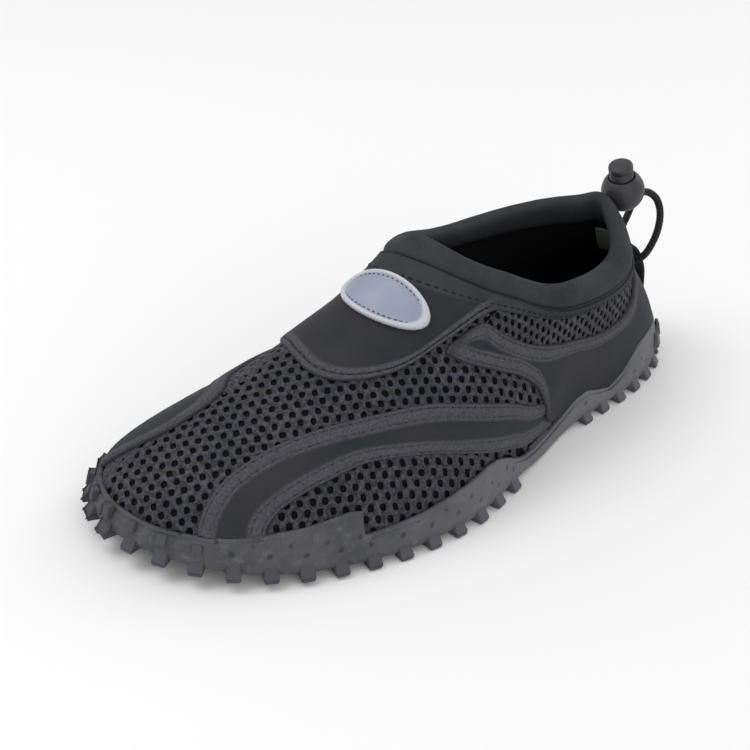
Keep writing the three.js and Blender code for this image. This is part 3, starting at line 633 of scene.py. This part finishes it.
def tube(route, radius, sides):
    """A round tube along a route, its UV counting braid pitches along and round it."""
    steps = len(route) - 1
    tangents = unit(np.gradient(route, axis=0))
    sideways = [unit(np.cross(tangents[0], (0.3, 0.2, 1.0)))]
    for t in tangents[1:]:
        sideways.append(unit(sideways[-1] - t * (sideways[-1] @ t)))
    sideways = np.array(sideways)
    other = np.cross(tangents, sideways)
    length = lengths_to(route)[-1]

    def place(share_along, share_round):
        index = np.round(share_along * steps).astype(int)
        angle = (share_round * 2 * math.pi)[:, None]
        return route[index] + radius * (np.cos(angle) * sideways[index] + np.sin(angle) * other[index])

    bm = draped_grid(steps, sides, place, (length / BRAID_PITCH, 3))
    weld(bm, 1e-6)
    bmesh.ops.holes_fill(bm, edges=bm.edges, sides=0)
    return bm, length


cord_points = smooth_route(CORD_ROUTE + LOCK_CENTRE, 8)
cord_mesh, cord_length = tube(cord_points, CORD_DIAMETER / 2, 16)
cord = finish_piece(mesh_of(cord_mesh), "elastic_cord", CORD, ["drawcord"])
cord_length * MM

# Sole, its UV counting lugs along the wall and millimetres up it

PIT_FREE = 30


def pair_grid(place_ring, height_of, columns, rows):
    """A sheet between the two sides of a ring of places, closed at toe and heel."""

    def place(across, lengthwise):
        at = lengthwise * ROUND / 2
        outer, inner = place_ring(at), place_ring(ROUND - at)
        points = inner + (outer - inner) * across[:, None]
        points[:, 2] += height_of(across, lengthwise)
        return points

    def flat(shares, points):
        return np.stack([shares[:, 1], shares[:, 0] - PIT_FREE], -1)

    return draped_grid(columns, rows, place, uv_rule=flat)


WALL_COLUMNS = 336
WALK_AT = np.linspace(0, ROUND, 2801)
WALK_LENGTH = lengths_to(outline(WALK_AT))
lug_count = round(WALK_LENGTH[-1] / LUG_PITCH)
lug_lengths = (np.arange(lug_count) + 0.5) * WALK_LENGTH[-1] / lug_count
LUG_PLACES = np.interp(lug_lengths, WALK_LENGTH, WALK_AT)


def waist_share(at):
    """How far into a waist a place is, from 0 at its ends to 1 in its middle."""
    share = np.zeros(np.shape(at))
    for start, end in WAISTS:
        share = share + np.where((at > start) & (at < end), np.sin(math.pi * (at - start) / (end - start)), 0)
    return share


# Gap between the last and the wall, height of the wall's foot over the tread, and the wall's bulge
LAST_GAP, WALL_FOOT, WALL_BULGE = 0.3, 1.2, 0.9


def under_ring(inset, lift, at):
    points = outline(at) - outward(at) * inset
    points[..., 2] = TREAD_DEPTH + lift - WAIST_DROP * waist_share(at) + sole_rise(points[..., 1])
    return points


def lip_ring(out_share, lift, at):
    points = layer(at, rim_up(at), LAST_GAP) + outward(at) * CUP_WALL * out_share
    points[..., 2] += lift
    return points


def wall_ring(share, at):
    foot = under_ring(0, WALL_FOOT, at)
    return foot + (lip_ring(1, 0, at) - foot) * share + outward(at) * WALL_BULGE * math.sin(math.pi * share)


def inner_ring(share, at):
    return layer(at, rim_up(at) * share, LAST_GAP)


# Rings of the sole: inset under it, up the wall, round the rim and down inside
LIP = ((1.22, -1.5), (1.2, -0.8), (1.08, -0.225), (0.8, 0), (0.35, -0.1))
SOLE_RINGS = [partial(under_ring, *place) for place in ((1.4, 0), (0.7, 0.15), (0.25, 0.55))]
SOLE_RINGS += [partial(wall_ring, share) for share in (0, 0.12, 0.3, 0.5, 0.7, 0.86)]
SOLE_RINGS += [partial(lip_ring, *place) for place in LIP]
SOLE_RINGS += [partial(inner_ring, share) for share in (0.97, 0.7, 0.4, 0)]


def make_sole():
    count = len(SOLE_RINGS) - 1

    def place(lengthwise, across):
        at = lengthwise * ROUND
        index = np.round(across * count).astype(int)
        points = np.zeros((len(at), 3))
        for k, ring in enumerate(SOLE_RINGS):
            chosen = index == k
            if chosen.any():
                points[chosen] = ring(at[chosen])
        return points

    def level(across, lengthwise):
        return 0

    def wall_uv(shares, points):
        length = np.interp(shares[:, 0] * ROUND, WALK_AT, WALK_LENGTH)
        pitches = length / WALK_LENGTH[-1] * lug_count
        rim = rim_height(shares[:, 0] * ROUND)
        height = points[:, 2] - sole_rise(points[:, 1])
        return np.stack([pitches, np.where(rim > height + 1.5, height, PIT_FREE)], -1)

    bm = draped_grid(WALL_COLUMNS, count, place, uv_rule=wall_uv)
    for ring in (SOLE_RINGS[0], SOLE_RINGS[-1]):
        sheet = pair_grid(ring, level, 26, WALL_COLUMNS // 2)
        scratch = mesh_of(sheet, recalc=False)
        bm.from_mesh(scratch)
        bpy.data.meshes.remove(scratch)
    weld(bm, 2e-5)
    return mesh_of(bm)


finish_piece(make_sole(), "sole_body", RUBBER, ["outsole"])


def add_block(bm, corners):
    """A block between four lower and four upper corners, its edges rounded."""
    made = bmesh.ops.create_cube(bm, size=1.0)["verts"]
    order = sorted(made, key=lambda v: (v.co.z, math.atan2(v.co.y, v.co.x)))
    for vert, corner in zip(order, corners):
        vert.co = Vector(corner) * MM
    edges = list({e for v in made for e in v.link_edges})
    rounding = BLOCK_ROUND * MM
    bmesh.ops.bevel(bm, geom=edges, offset=rounding, segments=2, affect="EDGES", profile=0.5, material=-1)


def make_lugs():
    bm = bmesh.new()
    for number, at in enumerate(LUG_PLACES):
        if any(low < at < high for low, high in WAISTS):
            continue
        middle, out = outline(at), outward(at)
        side = np.array([-out[1], out[0], 0])
        lift = float(sole_rise(middle[1]))

        def corner(reach, half, height):
            point = middle + out * reach + side * half
            return (point[0], point[1], height + lift)

        def face(inner, outer, half, height):
            ends = ((inner, -half), (outer, -half), (outer, half), (inner, half))
            return [corner(reach, across, height) for reach, across in ends]

        half, tip = LUG_WIDTH / 2, LUG_WIDTH / 2 * 0.8
        slope = 0.5 * (number % 2)
        foot = face(-LUG_ROOT, LUG_REACH * 0.85, tip, 0)
        knee = face(-2.4, LUG_REACH, half * 0.95, 1.5)
        head = face(-2.4, -0.9, half * 0.8, TREAD_DEPTH + 4.1 + slope)
        add_block(bm, foot + knee)
        add_block(bm, knee + head)
        if abs(at - HEEL_AT) < HEEL_LUG_SPAN or not 2 < at < TOE_NUBS_FROM:
            low = face(-0.6, LUG_REACH * 0.8, tip, HEEL_LUG_BASE)
            high = face(-0.6, LUG_REACH * 0.3, half * 0.8, HEEL_LUG_BASE + HEEL_LUG_HEIGHT)
            if abs(at - HEEL_AT) >= HEEL_LUG_SPAN:
                low = face(-1.4, 1.1, tip * 0.8, 7.6)
                high = face(-1.8, 0.3, tip * 0.8, 11.2)
            add_block(bm, low + high)
    ring = outline(WALK_AT)
    for share in STUD_ROWS:
        number = round((share - STUD_ROWS[0]) / 0.12)
        y = share * SOLE_LENGTH / 2
        near = ring[np.abs(ring[:, 1] - y) < 4]
        inner, outer = near[:, 0].min(), near[:, 0].max()
        count = max(1, int((outer - inner - STUD_EDGE) // STUD_SPACING) + 1 - (number % 2))
        lift = float(sole_rise(y))
        for i in range(count):
            x = (inner + outer) / 2 + (i - (count - 1) / 2) * STUD_SPACING
            corners = []
            for half, height in ((3.0, 0.0), (3.5, TREAD_DEPTH + 0.6)):
                for dx, dy in ((-1, -1), (1, -1), (1, 1), (-1, 1)):
                    corners.append((x + dx * half, y + dy * half, height + lift))
            add_block(bm, corners)
    for vert in bm.verts:
        vert.co.z = max(vert.co.z, 0)
    return mesh_of(bm)


finish_piece(make_lugs(), "tread_lugs", TREAD, ["outsole"], smooth=False)


INSOLE_UP, INSOLE_INSET = 0.055, 2.4


def make_insole():
    def ring(at):
        return layer(at, INSOLE_UP, -INSOLE_INSET)

    def crown(across, lengthwise):
        edge = np.minimum(across, 1 - across) * 2
        return 1.6 * (1 - ease(0, 0.3, edge)) + 0.5

    return mesh_of(pair_grid(ring, crown, 40, 160))


insole = finish_piece(make_insole(), "insole_cloth", LINING, ["insole"])
if sum(p.normal.z for p in insole.data.polygons) < 0:
    insole.data.flip_normals()
thicken(insole, 3.0)

# Upper: the dark lining, and the knitted mesh over it


LINING_OFF = -0.55


def make_lining():
    def place(lengthwise, across):
        return layer(lengthwise * ROUND, across, LINING_OFF)

    bm = draped_grid(224, 48, place, (770, 90))
    weld(bm, 1e-5)
    return mesh_of(bm)


def point_outwards(obj):
    """Turns an open sheet's faces away from the middle of the shoe."""
    middle = Vector((0, 0, 0.03))
    facing = sum(p.normal.dot(p.center - middle) * p.area for p in obj.data.polygons)
    if facing < 0:
        obj.data.flip_normals()


lining = finish_piece(make_lining(), "lining", LINING, ["upper"])
point_outwards(lining)
thicken(lining, 1.6)

FINE_AT, FINE_UP = np.linspace(0, ROUND, 561), np.linspace(0, 1, 121)
fine_grid = surface(FINE_AT[:, None], FINE_UP[None, :])
row_length = len(FINE_UP)
starts = [i * row_length + k for i in range(len(FINE_AT) - 1) for k in range(row_length - 1)]
fine_faces = [(a, a + row_length, a + row_length + 1, a + 1) for a in starts]
last_tree = BVHTree.FromPolygons([Vector(p) for p in fine_grid.reshape(-1, 3)], fine_faces)


def place_on_last(hit, index):
    """Place round and share up of a point that lies on one face of the fine grid."""
    row, column = divmod(index, len(FINE_UP) - 1)
    a = fine_grid[row, column]
    b, c = fine_grid[row + 1, column], fine_grid[row, column + 1]
    p = np.array(hit) - a
    s = p @ (b - a) / max((b - a) @ (b - a), 1e-9)
    t = p @ (c - a) / max((c - a) @ (c - a), 1e-9)
    return FINE_AT[row] + s * (FINE_AT[1] - FINE_AT[0]), FINE_UP[column] + t * (FINE_UP[1] - FINE_UP[0])


HOLE_PITCH, HOLE_ROW = 4.4, 3.5
HOLE_WIDTH, HOLE_HEIGHT = 3.1, 2.75
NET_OFF = 0.45
CAST_FROM = 120


def honeycomb(columns, rows):
    """A flat net of six-sided holes in millimetres, its rows staggered, centred on the origin."""
    bm = bmesh.new()
    bmesh.ops.create_grid(bm, x_segments=2 * columns, y_segments=rows, size=0.5)
    keys = {}
    for vert in bm.verts:
        k, j = round((vert.co.x + 0.5) * 2 * columns), round((vert.co.y + 0.5) * rows)
        keys[vert] = (k, j)
        zigzag = HOLE_ROW * 0.17 * (1 if (k + j) % 2 else -1)
        vert.co = ((k - columns) * HOLE_PITCH / 2, (j - rows / 2) * HOLE_ROW + zigzag, 0)
    cut = []
    for edge in bm.edges:
        (k1, j1), (k2, j2) = (keys[v] for v in edge.verts)
        if k1 == k2 and (k1 + min(j1, j2)) % 2 and 0 < k1 < 2 * columns:
            cut.append(edge)
    bmesh.ops.dissolve_edges(bm, edges=cut, use_verts=False)
    return bm


def open_holes(bm):
    """Cuts a rounded hole into each cell of a flat net."""
    cells = list(bm.faces)
    bmesh.ops.inset_individual(bm, faces=cells, thickness=0.4, depth=0, use_even_offset=True)
    for cell in cells:
        middle = cell.calc_center_median()
        for vert in cell.verts:
            away = vert.co - middle
            angle = math.atan2(away.y / HOLE_HEIGHT, away.x / HOLE_WIDTH)
            across, upwards = math.cos(angle) * HOLE_WIDTH / 2, math.sin(angle) * HOLE_HEIGHT / 2
            vert.co = middle + Vector((across, upwards, 0))
    bmesh.ops.delete(bm, geom=cells, context="FACES_ONLY")


def finish_net(bm, name):
    loose = [v for v in bm.verts if not v.link_faces]
    bmesh.ops.delete(bm, geom=loose, context="VERTS")
    obj = finish_piece(mesh_of(bm, recalc=False), name, KNIT, ["upper"])
    point_outwards(obj)
    thicken(obj, 0.95)
    smoother = obj.modifiers.new("round_strands", "SUBSURF")
    smoother.levels = smoother.render_levels = 1


def make_net(name, mirrored, facing, rows_run, middle, count, keeps):
    """A net laid flat along one direction and cast on the last, kept where keeps(at, up) holds."""
    sign = np.array([-1.0 if mirrored else 1.0, 1, 1])
    facing, rows_run, middle = unit(np.array(facing) * sign), np.array(rows_run) * sign, middle * sign
    rows_run = unit(rows_run - facing * (rows_run @ facing))
    top = np.cross(facing, rows_run) * sign[0]
    bm = honeycomb(*count)
    open_holes(bm)
    where = {}
    for vert in bm.verts:
        start = middle + rows_run * vert.co.x + top * vert.co.y + facing * CAST_FROM
        hit, _, index, _ = last_tree.ray_cast(Vector(start), Vector(-facing))
        if hit is not None:
            at, up = place_on_last(hit, index)
            at = ROUND - at if mirrored else at
            where[vert] = (at if at < ROUND / 2 else at - ROUND, up)
    doomed = []
    for face in bm.faces:
        spots = np.array([where.get(v, (99, 0)) for v in face.verts])
        at, up = spots.mean(axis=0)
        real_at = ROUND - at if mirrored else at
        # A face that spans the opening has corners far apart round the shoe
        joined = np.ptp(spots[:, 0]) < 3
        if not (joined and keeps(at, up) and surface(real_at, up)[2] > rim_height(real_at) - 4):
            doomed.append(face)
    bmesh.ops.delete(bm, geom=doomed, context="FACES")
    kept = [v for v in bm.verts if v in where]
    spots = np.array([where[v] for v in kept])
    ats = ROUND - spots[:, 0] if mirrored else spots[:, 0]
    for vert, point in zip(kept, layer(ats, np.clip(spots[:, 1], 0, 1), NET_OFF)):
        vert.co = point * MM
    finish_net(bm, name)


def keeps_side(inner_edge):
    def keeps(at, up):
        patch_edge = np.interp(at, INSTEP["at"], INSTEP["low_up"]) + 0.11
        back_edge = np.interp(up, (0.2, 0.5, 0.66, 0.78, 0.9), (8.9, 8.5, 7.6, 6.6, 5.6))
        top = patch_edge if at > inner_edge + 2 else 0.66
        return inner_edge < at < back_edge and up < max(top, patch_edge if at > -1 else 0)

    return keeps


def keeps_heel(at, up):
    return 4.6 < at < 12.4 and up > np.interp(at, QUARTER["at"], QUARTER["high_up"]) - 0.1


# Where each net faces, the way its rows run, its middle and its count of holes
SIDE_NET = ((0.5, -0.5, 0.7), (0.58, 0.795, 0.15), (26, -60, 45), (58, 46))
HEEL_NET = ((0.95, 0.05, 0.4), (0, 0.9, 0.42), (40, 45, 50), (30, 22))
make_net("mesh_vamp_outer", False, *SIDE_NET, keeps_side(-3.6))
make_net("mesh_side_inner", True, *SIDE_NET, keeps_side(0.9))
make_net("mesh_heel_outer", False, *HEEL_NET, keeps_heel)
make_net("mesh_heel_inner", True, *HEEL_NET, keeps_heel)

# Panels with welts and stitches

PANEL_OFF = 1.45
WELT_WIDTH = 6.0
WELT_RISE = 0.6
stitch_rows = []


def above_rim(at, up):
    return np.maximum(up, rim_up(at, 3.0))


def arm_rib(rows):
    def rib(t):
        place = t * (len(rows["low_at"]) - 1)
        low_at, high_at = along(rows, "low_at", place), along(rows, "high_at", place)
        low_up = above_rim(low_at, along(rows, "low_up", place))
        high_up = above_rim(high_at, along(rows, "high_up", place))
        return low_at, low_up, high_at, high_up, 1.0, 1.0

    return rib


def quarter_rib(mirrored):
    def rib(t):
        place = (1 - t if mirrored else t) * (len(QUARTER["at"]) - 1)
        at = along(QUARTER, "at", place)
        low_up = above_rim(at, along(QUARTER, "low_up", place))
        high_up = along(QUARTER, "high_up", place)
        low_welt = np.clip(along(QUARTER, "low_welt", place), 0, 1)
        high_welt = np.clip(along(QUARTER, "high_welt", place), 0, 1)
        at = ROUND - at if mirrored else at
        return at, low_up, at, high_up, low_welt, high_welt

    return rib


def patch_rib(t):
    place = t * (len(INSTEP["at"]) - 1)
    at = along(INSTEP, "at", place)
    return at, along(INSTEP, "low_up", place), at, PATCH_TOP, 1.0, 0.0


def welt_height(distance, grooves):
    """Height of a welt's soft ridges at a distance from the panel's edge."""
    body = ease(-0.2, 0.9, distance) * (1 - ease(WELT_WIDTH - 0.6, WELT_WIDTH + 0.9, distance))
    for place, depth in grooves:
        body = body * (1 - depth * np.exp(-(((distance - place) / 0.5) ** 2)))
    return WELT_RISE * body


# Stitch rows across a welt, and the grooves that they and the piping press into it, as place and depth
STITCH_PLACES = (1.5, WELT_WIDTH - 1.1)
PIPING_PLACE = 2.9
STITCHED = tuple((place, 0.5) for place in STITCH_PLACES)
PIPED = ((PIPING_PLACE, 0.95),)


def make_panel(name, rib, columns, across_rows, nodes, sink=None, grooves=STITCHED):
    """A smooth panel between two edge lines, with welts along its flagged edges."""
    stored = {}

    def place(lengthwise, across):
        low_at, low_up, high_at, high_up, low_welt, high_welt = rib(lengthwise)
        width = np.linalg.norm(surface(low_at, low_up) - surface(high_at, high_up), axis=-1)
        share = 0.5 - 0.5 * np.cos(np.clip(across, 0, 1) * math.pi)
        from_low, from_high = share * width, (1 - share) * width
        edge = np.minimum(from_low, from_high)
        ends = np.minimum(lengthwise, 1 - lengthwise)
        height = PANEL_OFF - 1.1 * (1 - np.sqrt(np.clip(edge / 0.8, 0, 1)))
        low_ridge, high_ridge = (welt_height(distance, grooves) for distance in (from_low, from_high))
        welt = np.maximum(low_welt * low_ridge, high_welt * high_ridge) * (0.35 + 0.65 * ease(6, 13, width))
        height = height + welt
        if sink is not None:
            height = height + sink(lengthwise)
        # The welt's height is kept as the mask for the panel's painted highlight on the ridges and painted
        # shade in the stitch grooves
        stored["welt"] = np.clip(welt / WELT_RISE * 1.2, 0, 1)
        at = low_at + (high_at - low_at) * share
        up = low_up + (high_up - low_up) * share
        return layer(at, np.clip(up, 0, 1), height)

    bm = draped_grid(columns, across_rows, place, (200, 40))
    mesh = mesh_of(bm, recalc=False)
    paint(mesh, "welt", stored["welt"])
    obj = finish_piece(mesh, name, PANEL, nodes)
    point_outwards(obj)
    thicken(obj, 1.3)


def stitch_line(rib, side, distance, start, end, mirrored=False, lift=0.15):
    """Notes a row of stitches at a distance from one edge of a panel."""
    t = np.linspace(1 - end, 1 - start, 240) if mirrored else np.linspace(start, end, 240)
    low_at, low_up, high_at, high_up, _, _ = rib(t)
    width = np.linalg.norm(surface(low_at, low_up) - surface(high_at, high_up), axis=-1)
    part = np.clip(distance / width, 0, 0.5)
    part = part if side == "low" else 1 - part
    at, up = low_at + (high_at - low_at) * part, low_up + (high_up - low_up) * part
    stitch_rows.append((at, np.clip(up, 0, 1), PANEL_OFF + lift))


def fade_end(last):
    def sink(t):
        return -1.3 * (ease(0.86, 0.97, t) if last else 1 - ease(0.03, 0.14, t))

    return sink


for name, rows, mirrored in (("outer", ARM_OUTER, False), ("inner", ARM_INNER, True)):
    node_name = "side_panel_" + name
    arm = arm_rib(rows)
    quarter = quarter_rib(mirrored)
    make_panel("toe_band_" + name, arm, 150, 44, [node_name], sink=fade_end(not mirrored))
    make_panel("quarter_" + name, quarter, 170, 60, [node_name])
    for distance in STITCH_PLACES:
        stitch_line(arm, "low", distance, 0.03, 0.86, mirrored)
        stitch_line(arm, "high", distance, 0.03, 0.86, mirrored)
        stitch_line(quarter, "low", distance, 0.04, 0.42, mirrored)
        stitch_line(quarter, "high", distance, 0.08, 0.8, mirrored)

make_panel("instep_patch_cloth", patch_rib, 160, 60, ["instep_patch"], grooves=PIPED)
stitch_line(patch_rib, "low", PIPING_PLACE, 0.03, 0.97, lift=0.1)
stitch_rows.append((np.linspace(0, ROUND, 900), 0.966, 1.55))


def add_stitch(bm, point, run, facing, half_sizes):
    """One stitch, a small stretched ball along a run."""
    run = Vector(run).normalized()
    side = Vector(facing).cross(run).normalized()
    axes = Matrix((run, side, run.cross(side))).transposed().to_4x4()
    size = Matrix.Diagonal((*(half * MM for half in half_sizes), 1))
    placed = Matrix.Translation(Vector(point) * MM) @ axes @ size
    bmesh.ops.create_icosphere(bm, subdivisions=1, radius=1.0, matrix=placed)


def make_stitches():
    bm = bmesh.new()
    pitch = 3.3
    for at, up, off in stitch_rows:
        points = layer(at, up, off)
        facing = normal(at, up)
        length = lengths_to(points)
        for place in np.arange(pitch, length[-1] - pitch, pitch):
            spot = np.array([np.interp(place, length, points[:, k]) for k in range(3)])
            ahead = np.array([np.interp(place + 0.5, length, points[:, k]) for k in range(3)])
            index = min(int(np.searchsorted(length, place)), len(facing) - 1)
            add_stitch(bm, spot, ahead - spot, facing[index], (1.15, 0.38, 0.3))
    return mesh_of(bm, recalc=False)


finish_piece(make_stitches(), "stitches", THREAD)

# Collar


def make_collar():
    squareness = 2.5

    def bend(share):
        return np.sign(share) * np.abs(share) ** (2 / squareness)

    def place(lengthwise, turn):
        at = lengthwise * ROUND
        centre, axis, across, half = collar_frame(at)
        angle = turn * 2 * math.pi
        rolled = COLLAR_THICKNESS / 2 * (1 + 0.02 * np.sin(at * 9) * np.sin(at * 2.3))
        points = centre - axis * (bend(np.cos(angle)) * half)[:, None]
        points += across * (bend(np.sin(angle)) * rolled)[:, None]
        points[:, 2] = np.maximum(points[:, 2], seam(at)[:, 2] + 0.2)
        return points

    bm = draped_grid(280, 28, place, (330, 40))
    weld(bm, 1e-5)
    return mesh_of(bm)


finish_piece(make_collar(), "collar_roll", COLLAR, ["collar"])


def make_hem():
    """The collar's lower hem, lapped over the top of the upper."""

    def place(lengthwise, across):
        at = lengthwise * ROUND
        up = 0.945 + 0.055 * across
        crown = 0.5 * (1 - np.sqrt(np.clip(across / 0.25, 0, 1)))
        return layer(at, up, 1.5 - 1.2 * crown)

    return mesh_of(draped_grid(336, 12, place), recalc=False)


hem = finish_piece(make_hem(), "collar_hem", COLLAR)
point_outwards(hem)
thicken(hem, 1.2)


def make_piping():
    """A thin rolled edge that closes the seam between the upper and the collar."""
    at = np.linspace(0, ROUND, 337)
    route = layer(at, 1.0, -0.3)
    route[:, 2] += 0.1
    bm, _ = tube(route, 0.9, 10)
    return mesh_of(bm)


finish_piece(make_piping(), "collar_piping", COLLAR)

# Badge

BADGE_LENGTH, BADGE_WIDTH = 34.2, 19.6
BADGE_AT, BADGE_UP = 0.9, 0.915
BADGE_OFF = 3.4
BADGE_STITCH_INSET = 2.5


def make_badge():
    facing = normal(BADGE_AT, BADGE_UP)
    across = np.array([1, 0.155, 0.0])
    across = unit(across - facing * (across @ facing))
    back = np.cross(facing, across)
    origin = surface(BADGE_AT, BADGE_UP)

    def flat(at, up):
        offset = surface(at, up) - origin
        return offset @ across, offset @ back

    def on_last(a, b):
        """Place round and share up of the last under points of the badge's flat face."""
        at, up = np.full(a.shape, BADGE_AT), np.full(a.shape, BADGE_UP)
        step = 0.01
        for _ in range(8):
            x, y = flat(at, up)
            xa, ya = (n - o for n, o in zip(flat(at + step, up), (x, y)))
            xu, yu = (o - n for n, o in zip(flat(at, up - step), (x, y)))
            scale = (xa * yu - ya * xu) / step
            ex, ey = a - x, b - y
            at = at + (ex * yu - ey * xu) / scale
            up = up + (xa * ey - ya * ex) / scale
        return at, up

    stored = {}

    def place(turn, share):
        angle = turn * 2 * math.pi
        at, up = on_last(np.cos(angle) * BADGE_LENGTH / 2 * share, np.sin(angle) * BADGE_WIDTH / 2 * share)
        edge = (1 - share) * BADGE_WIDTH / 2
        rim = 1 - ease(1.3, 1.9, edge)
        height = BADGE_OFF + 0.55 * rim - 1.6 * (1 - np.sqrt(np.clip(edge / 0.7, 0, 1)))
        stored["rim"] = 1 - ease(1.5, 1.8, edge)
        return layer(at, np.clip(up, 0, 1), height)

    mesh = mesh_of(draped_grid(96, 30, place), recalc=False)
    paint(mesh, "rim", stored["rim"])
    bm = bmesh.new()
    bm.from_mesh(mesh)
    weld(bm, 1e-5)
    bm.to_mesh(mesh)
    bm.free()
    obj = finish_piece(mesh, "badge_oval", BADGE, ["badge"])
    point_outwards(obj)
    thicken(obj, 1.4)

    angle = np.linspace(0, 2 * math.pi, 200)
    half_long, half_wide = BADGE_LENGTH / 2 - BADGE_STITCH_INSET, BADGE_WIDTH / 2 - BADGE_STITCH_INSET
    at, up = on_last(np.cos(angle) * half_long, np.sin(angle) * half_wide)
    points = layer(at, up, BADGE_OFF + 0.05)
    facing_rows = normal(at, up)
    length = lengths_to(points)
    bm = bmesh.new()
    for place_along in np.arange(0.5, length[-1] - 0.5, 2.1):
        index = min(int(np.searchsorted(length, place_along)), len(points) - 2)
        run = points[index + 1] - points[index]
        add_stitch(bm, points[index], run, facing_rows[index], (0.75, 0.2, 0.16))
    finish_piece(mesh_of(bm, recalc=False), "badge_stitches", THREAD)


make_badge()

# Pull strap at the heel

STRAP = table(("up", "off"), [
    (0.93, 0.3), (0.82, 0.6), (0.7, 2.6), (0.6, 4.5), (0.5, 4.7), (0.39, 3.8), (0.29, 1.6), (0.22, 0.3),
])


STRAP_WIDTH = 9.4


def make_strap():
    def place(lengthwise, across):
        place_along = lengthwise * (len(STRAP["up"]) - 1)
        up, off = along(STRAP, "up", place_along), along(STRAP, "off", place_along)
        facing = normal(HEEL_AT, up)
        facing[:, 0] = 0
        points = layer(HEEL_AT, up, off + 1.6) + unit(facing) * 1.5
        points[:, 0] += (across - 0.5) * STRAP_WIDTH
        return points

    mesh = mesh_of(draped_grid(60, 12, place, (30, 8)), recalc=False)
    obj = finish_piece(mesh, "heel_pull", WEBBING, ["heel_strap"])
    point_outwards(obj)
    thicken(obj, 1.4)
    edge = obj.modifiers.new("soft_edges", "BEVEL")
    edge.width = 0.35 * MM
    edge.segments = 2


make_strap()

# Cord lock


def spun(profile):
    """A turned solid from a profile of radii and heights, placed on the tilted axis of the lock."""
    bm = bmesh.new()
    verts = [bm.verts.new((r * MM, 0, z * MM)) for r, z in profile]
    edges = [bm.edges.new(pair) for pair in zip(verts, verts[1:])]
    whole = {"cent": (0, 0, 0), "axis": (0, 0, 1), "angle": 2 * math.pi, "steps": 48, "use_merge": True}
    bmesh.ops.spin(bm, geom=verts + edges, **whole)
    weld(bm, 1e-6)
    turn = Matrix.Translation(Vector(LOCK_CENTRE) * MM) @ Matrix.Rotation(LOCK_TILT, 4, "X")
    bmesh.ops.transform(bm, matrix=turn, verts=bm.verts)
    return mesh_of(bm)


BORE, BORE_DEPTH = 5.6, 9.4
BUTTON_RADIUS, BUTTON_PROUD = 5.2, 5.6
bore_top = math.sqrt(BALL_RADIUS**2 - BORE**2)


def ball_profile():
    rows = []
    last = math.pi - math.asin((BORE + 0.5) / BALL_RADIUS)
    for i in range(29):
        angle = last * i / 28
        radius, height = BALL_RADIUS * math.sin(angle), -BALL_RADIUS * math.cos(angle)
        groove = 0.25 * math.exp(-(((height - 3.4) / 0.35) ** 2))
        rows.append((max(radius - groove, 0), height))
    rows += [(BORE + 0.15, bore_top - 0.15), (BORE, bore_top - 0.5)]
    rows += [(BORE, bore_top - BORE_DEPTH), (0, bore_top - BORE_DEPTH)]
    return rows


ball = spun(ball_profile())
finish_piece(ball, "lock_ball", PLASTIC, ["cord_lock_body"])

button_top = math.sqrt(BALL_RADIUS**2 - BUTTON_RADIUS**2) + BUTTON_PROUD
button_low = bore_top - 5
BUTTON_EDGE = ((0, -3.2), (-0.45, -2.9), (-0.45, -2.5), (0, -2.2), (0, -0.9), (-0.25, -0.3), (-0.8, 0))
button_profile = [(0, button_low), (BUTTON_RADIUS, button_low)]
button_profile += [(BUTTON_RADIUS + out, button_top + rise) for out, rise in BUTTON_EDGE]
button_profile += [(0, button_top + 0.15)]
button = spun(button_profile)
finish_piece(button, "lock_button", PLASTIC, ["cord_lock_button"], body="button")

# Label inside the heel


def make_label():
    def place(lengthwise, across):
        at = 13.7 + lengthwise * 0.9
        return layer(at, 0.72 + across * 0.22, -2.5)

    mesh = mesh_of(draped_grid(12, 12, place), recalc=False)
    return finish_piece(mesh, "inside_label", LABEL)


thicken(make_label(), 0.4)

# Floor and lights

LIT_PLACE = Vector((0, 0, 0.03))


def make_floor():
    bm = bmesh.new()
    bmesh.ops.create_grid(bm, x_segments=1, y_segments=1, size=4)
    mesh = mesh_of(bm, recalc=False)
    mesh.name = "floor"
    floor = bpy.data.objects.new("floor", mesh)
    SCENE.collection.objects.link(floor)

    def look():
        return {"Base_Color": colour("#f4f4f4"), "Roughness": 0.9}

    floor.data.materials.append(material("floor", look))


def make_light(name, place, size, power):
    data = bpy.data.lights.new(name, "AREA")
    data.size = size
    data.energy = power
    light = bpy.data.objects.new(name, data)
    light.location = place
    light.rotation_euler = (LIT_PLACE - Vector(place)).to_track_quat("-Z", "Y").to_euler()
    SCENE.collection.objects.link(light)


make_floor()
make_light("key", (-0.5, -0.7, 1.4), 0.9, 8.5)
make_light("fill", (1.4, -0.6, 0.8), 1.2, 4)
make_light("back", (0.2, 1.3, 0.9), 0.8, 3.5)
world = bpy.data.worlds.new("studio")
SCENE.world = world
world.use_nodes = True
sky = world.node_tree.nodes["Background"].inputs
sky["Color"].default_value = (1, 1, 1, 1)
sky["Strength"].default_value = 0.72
SCENE.view_settings.view_transform = "Standard"
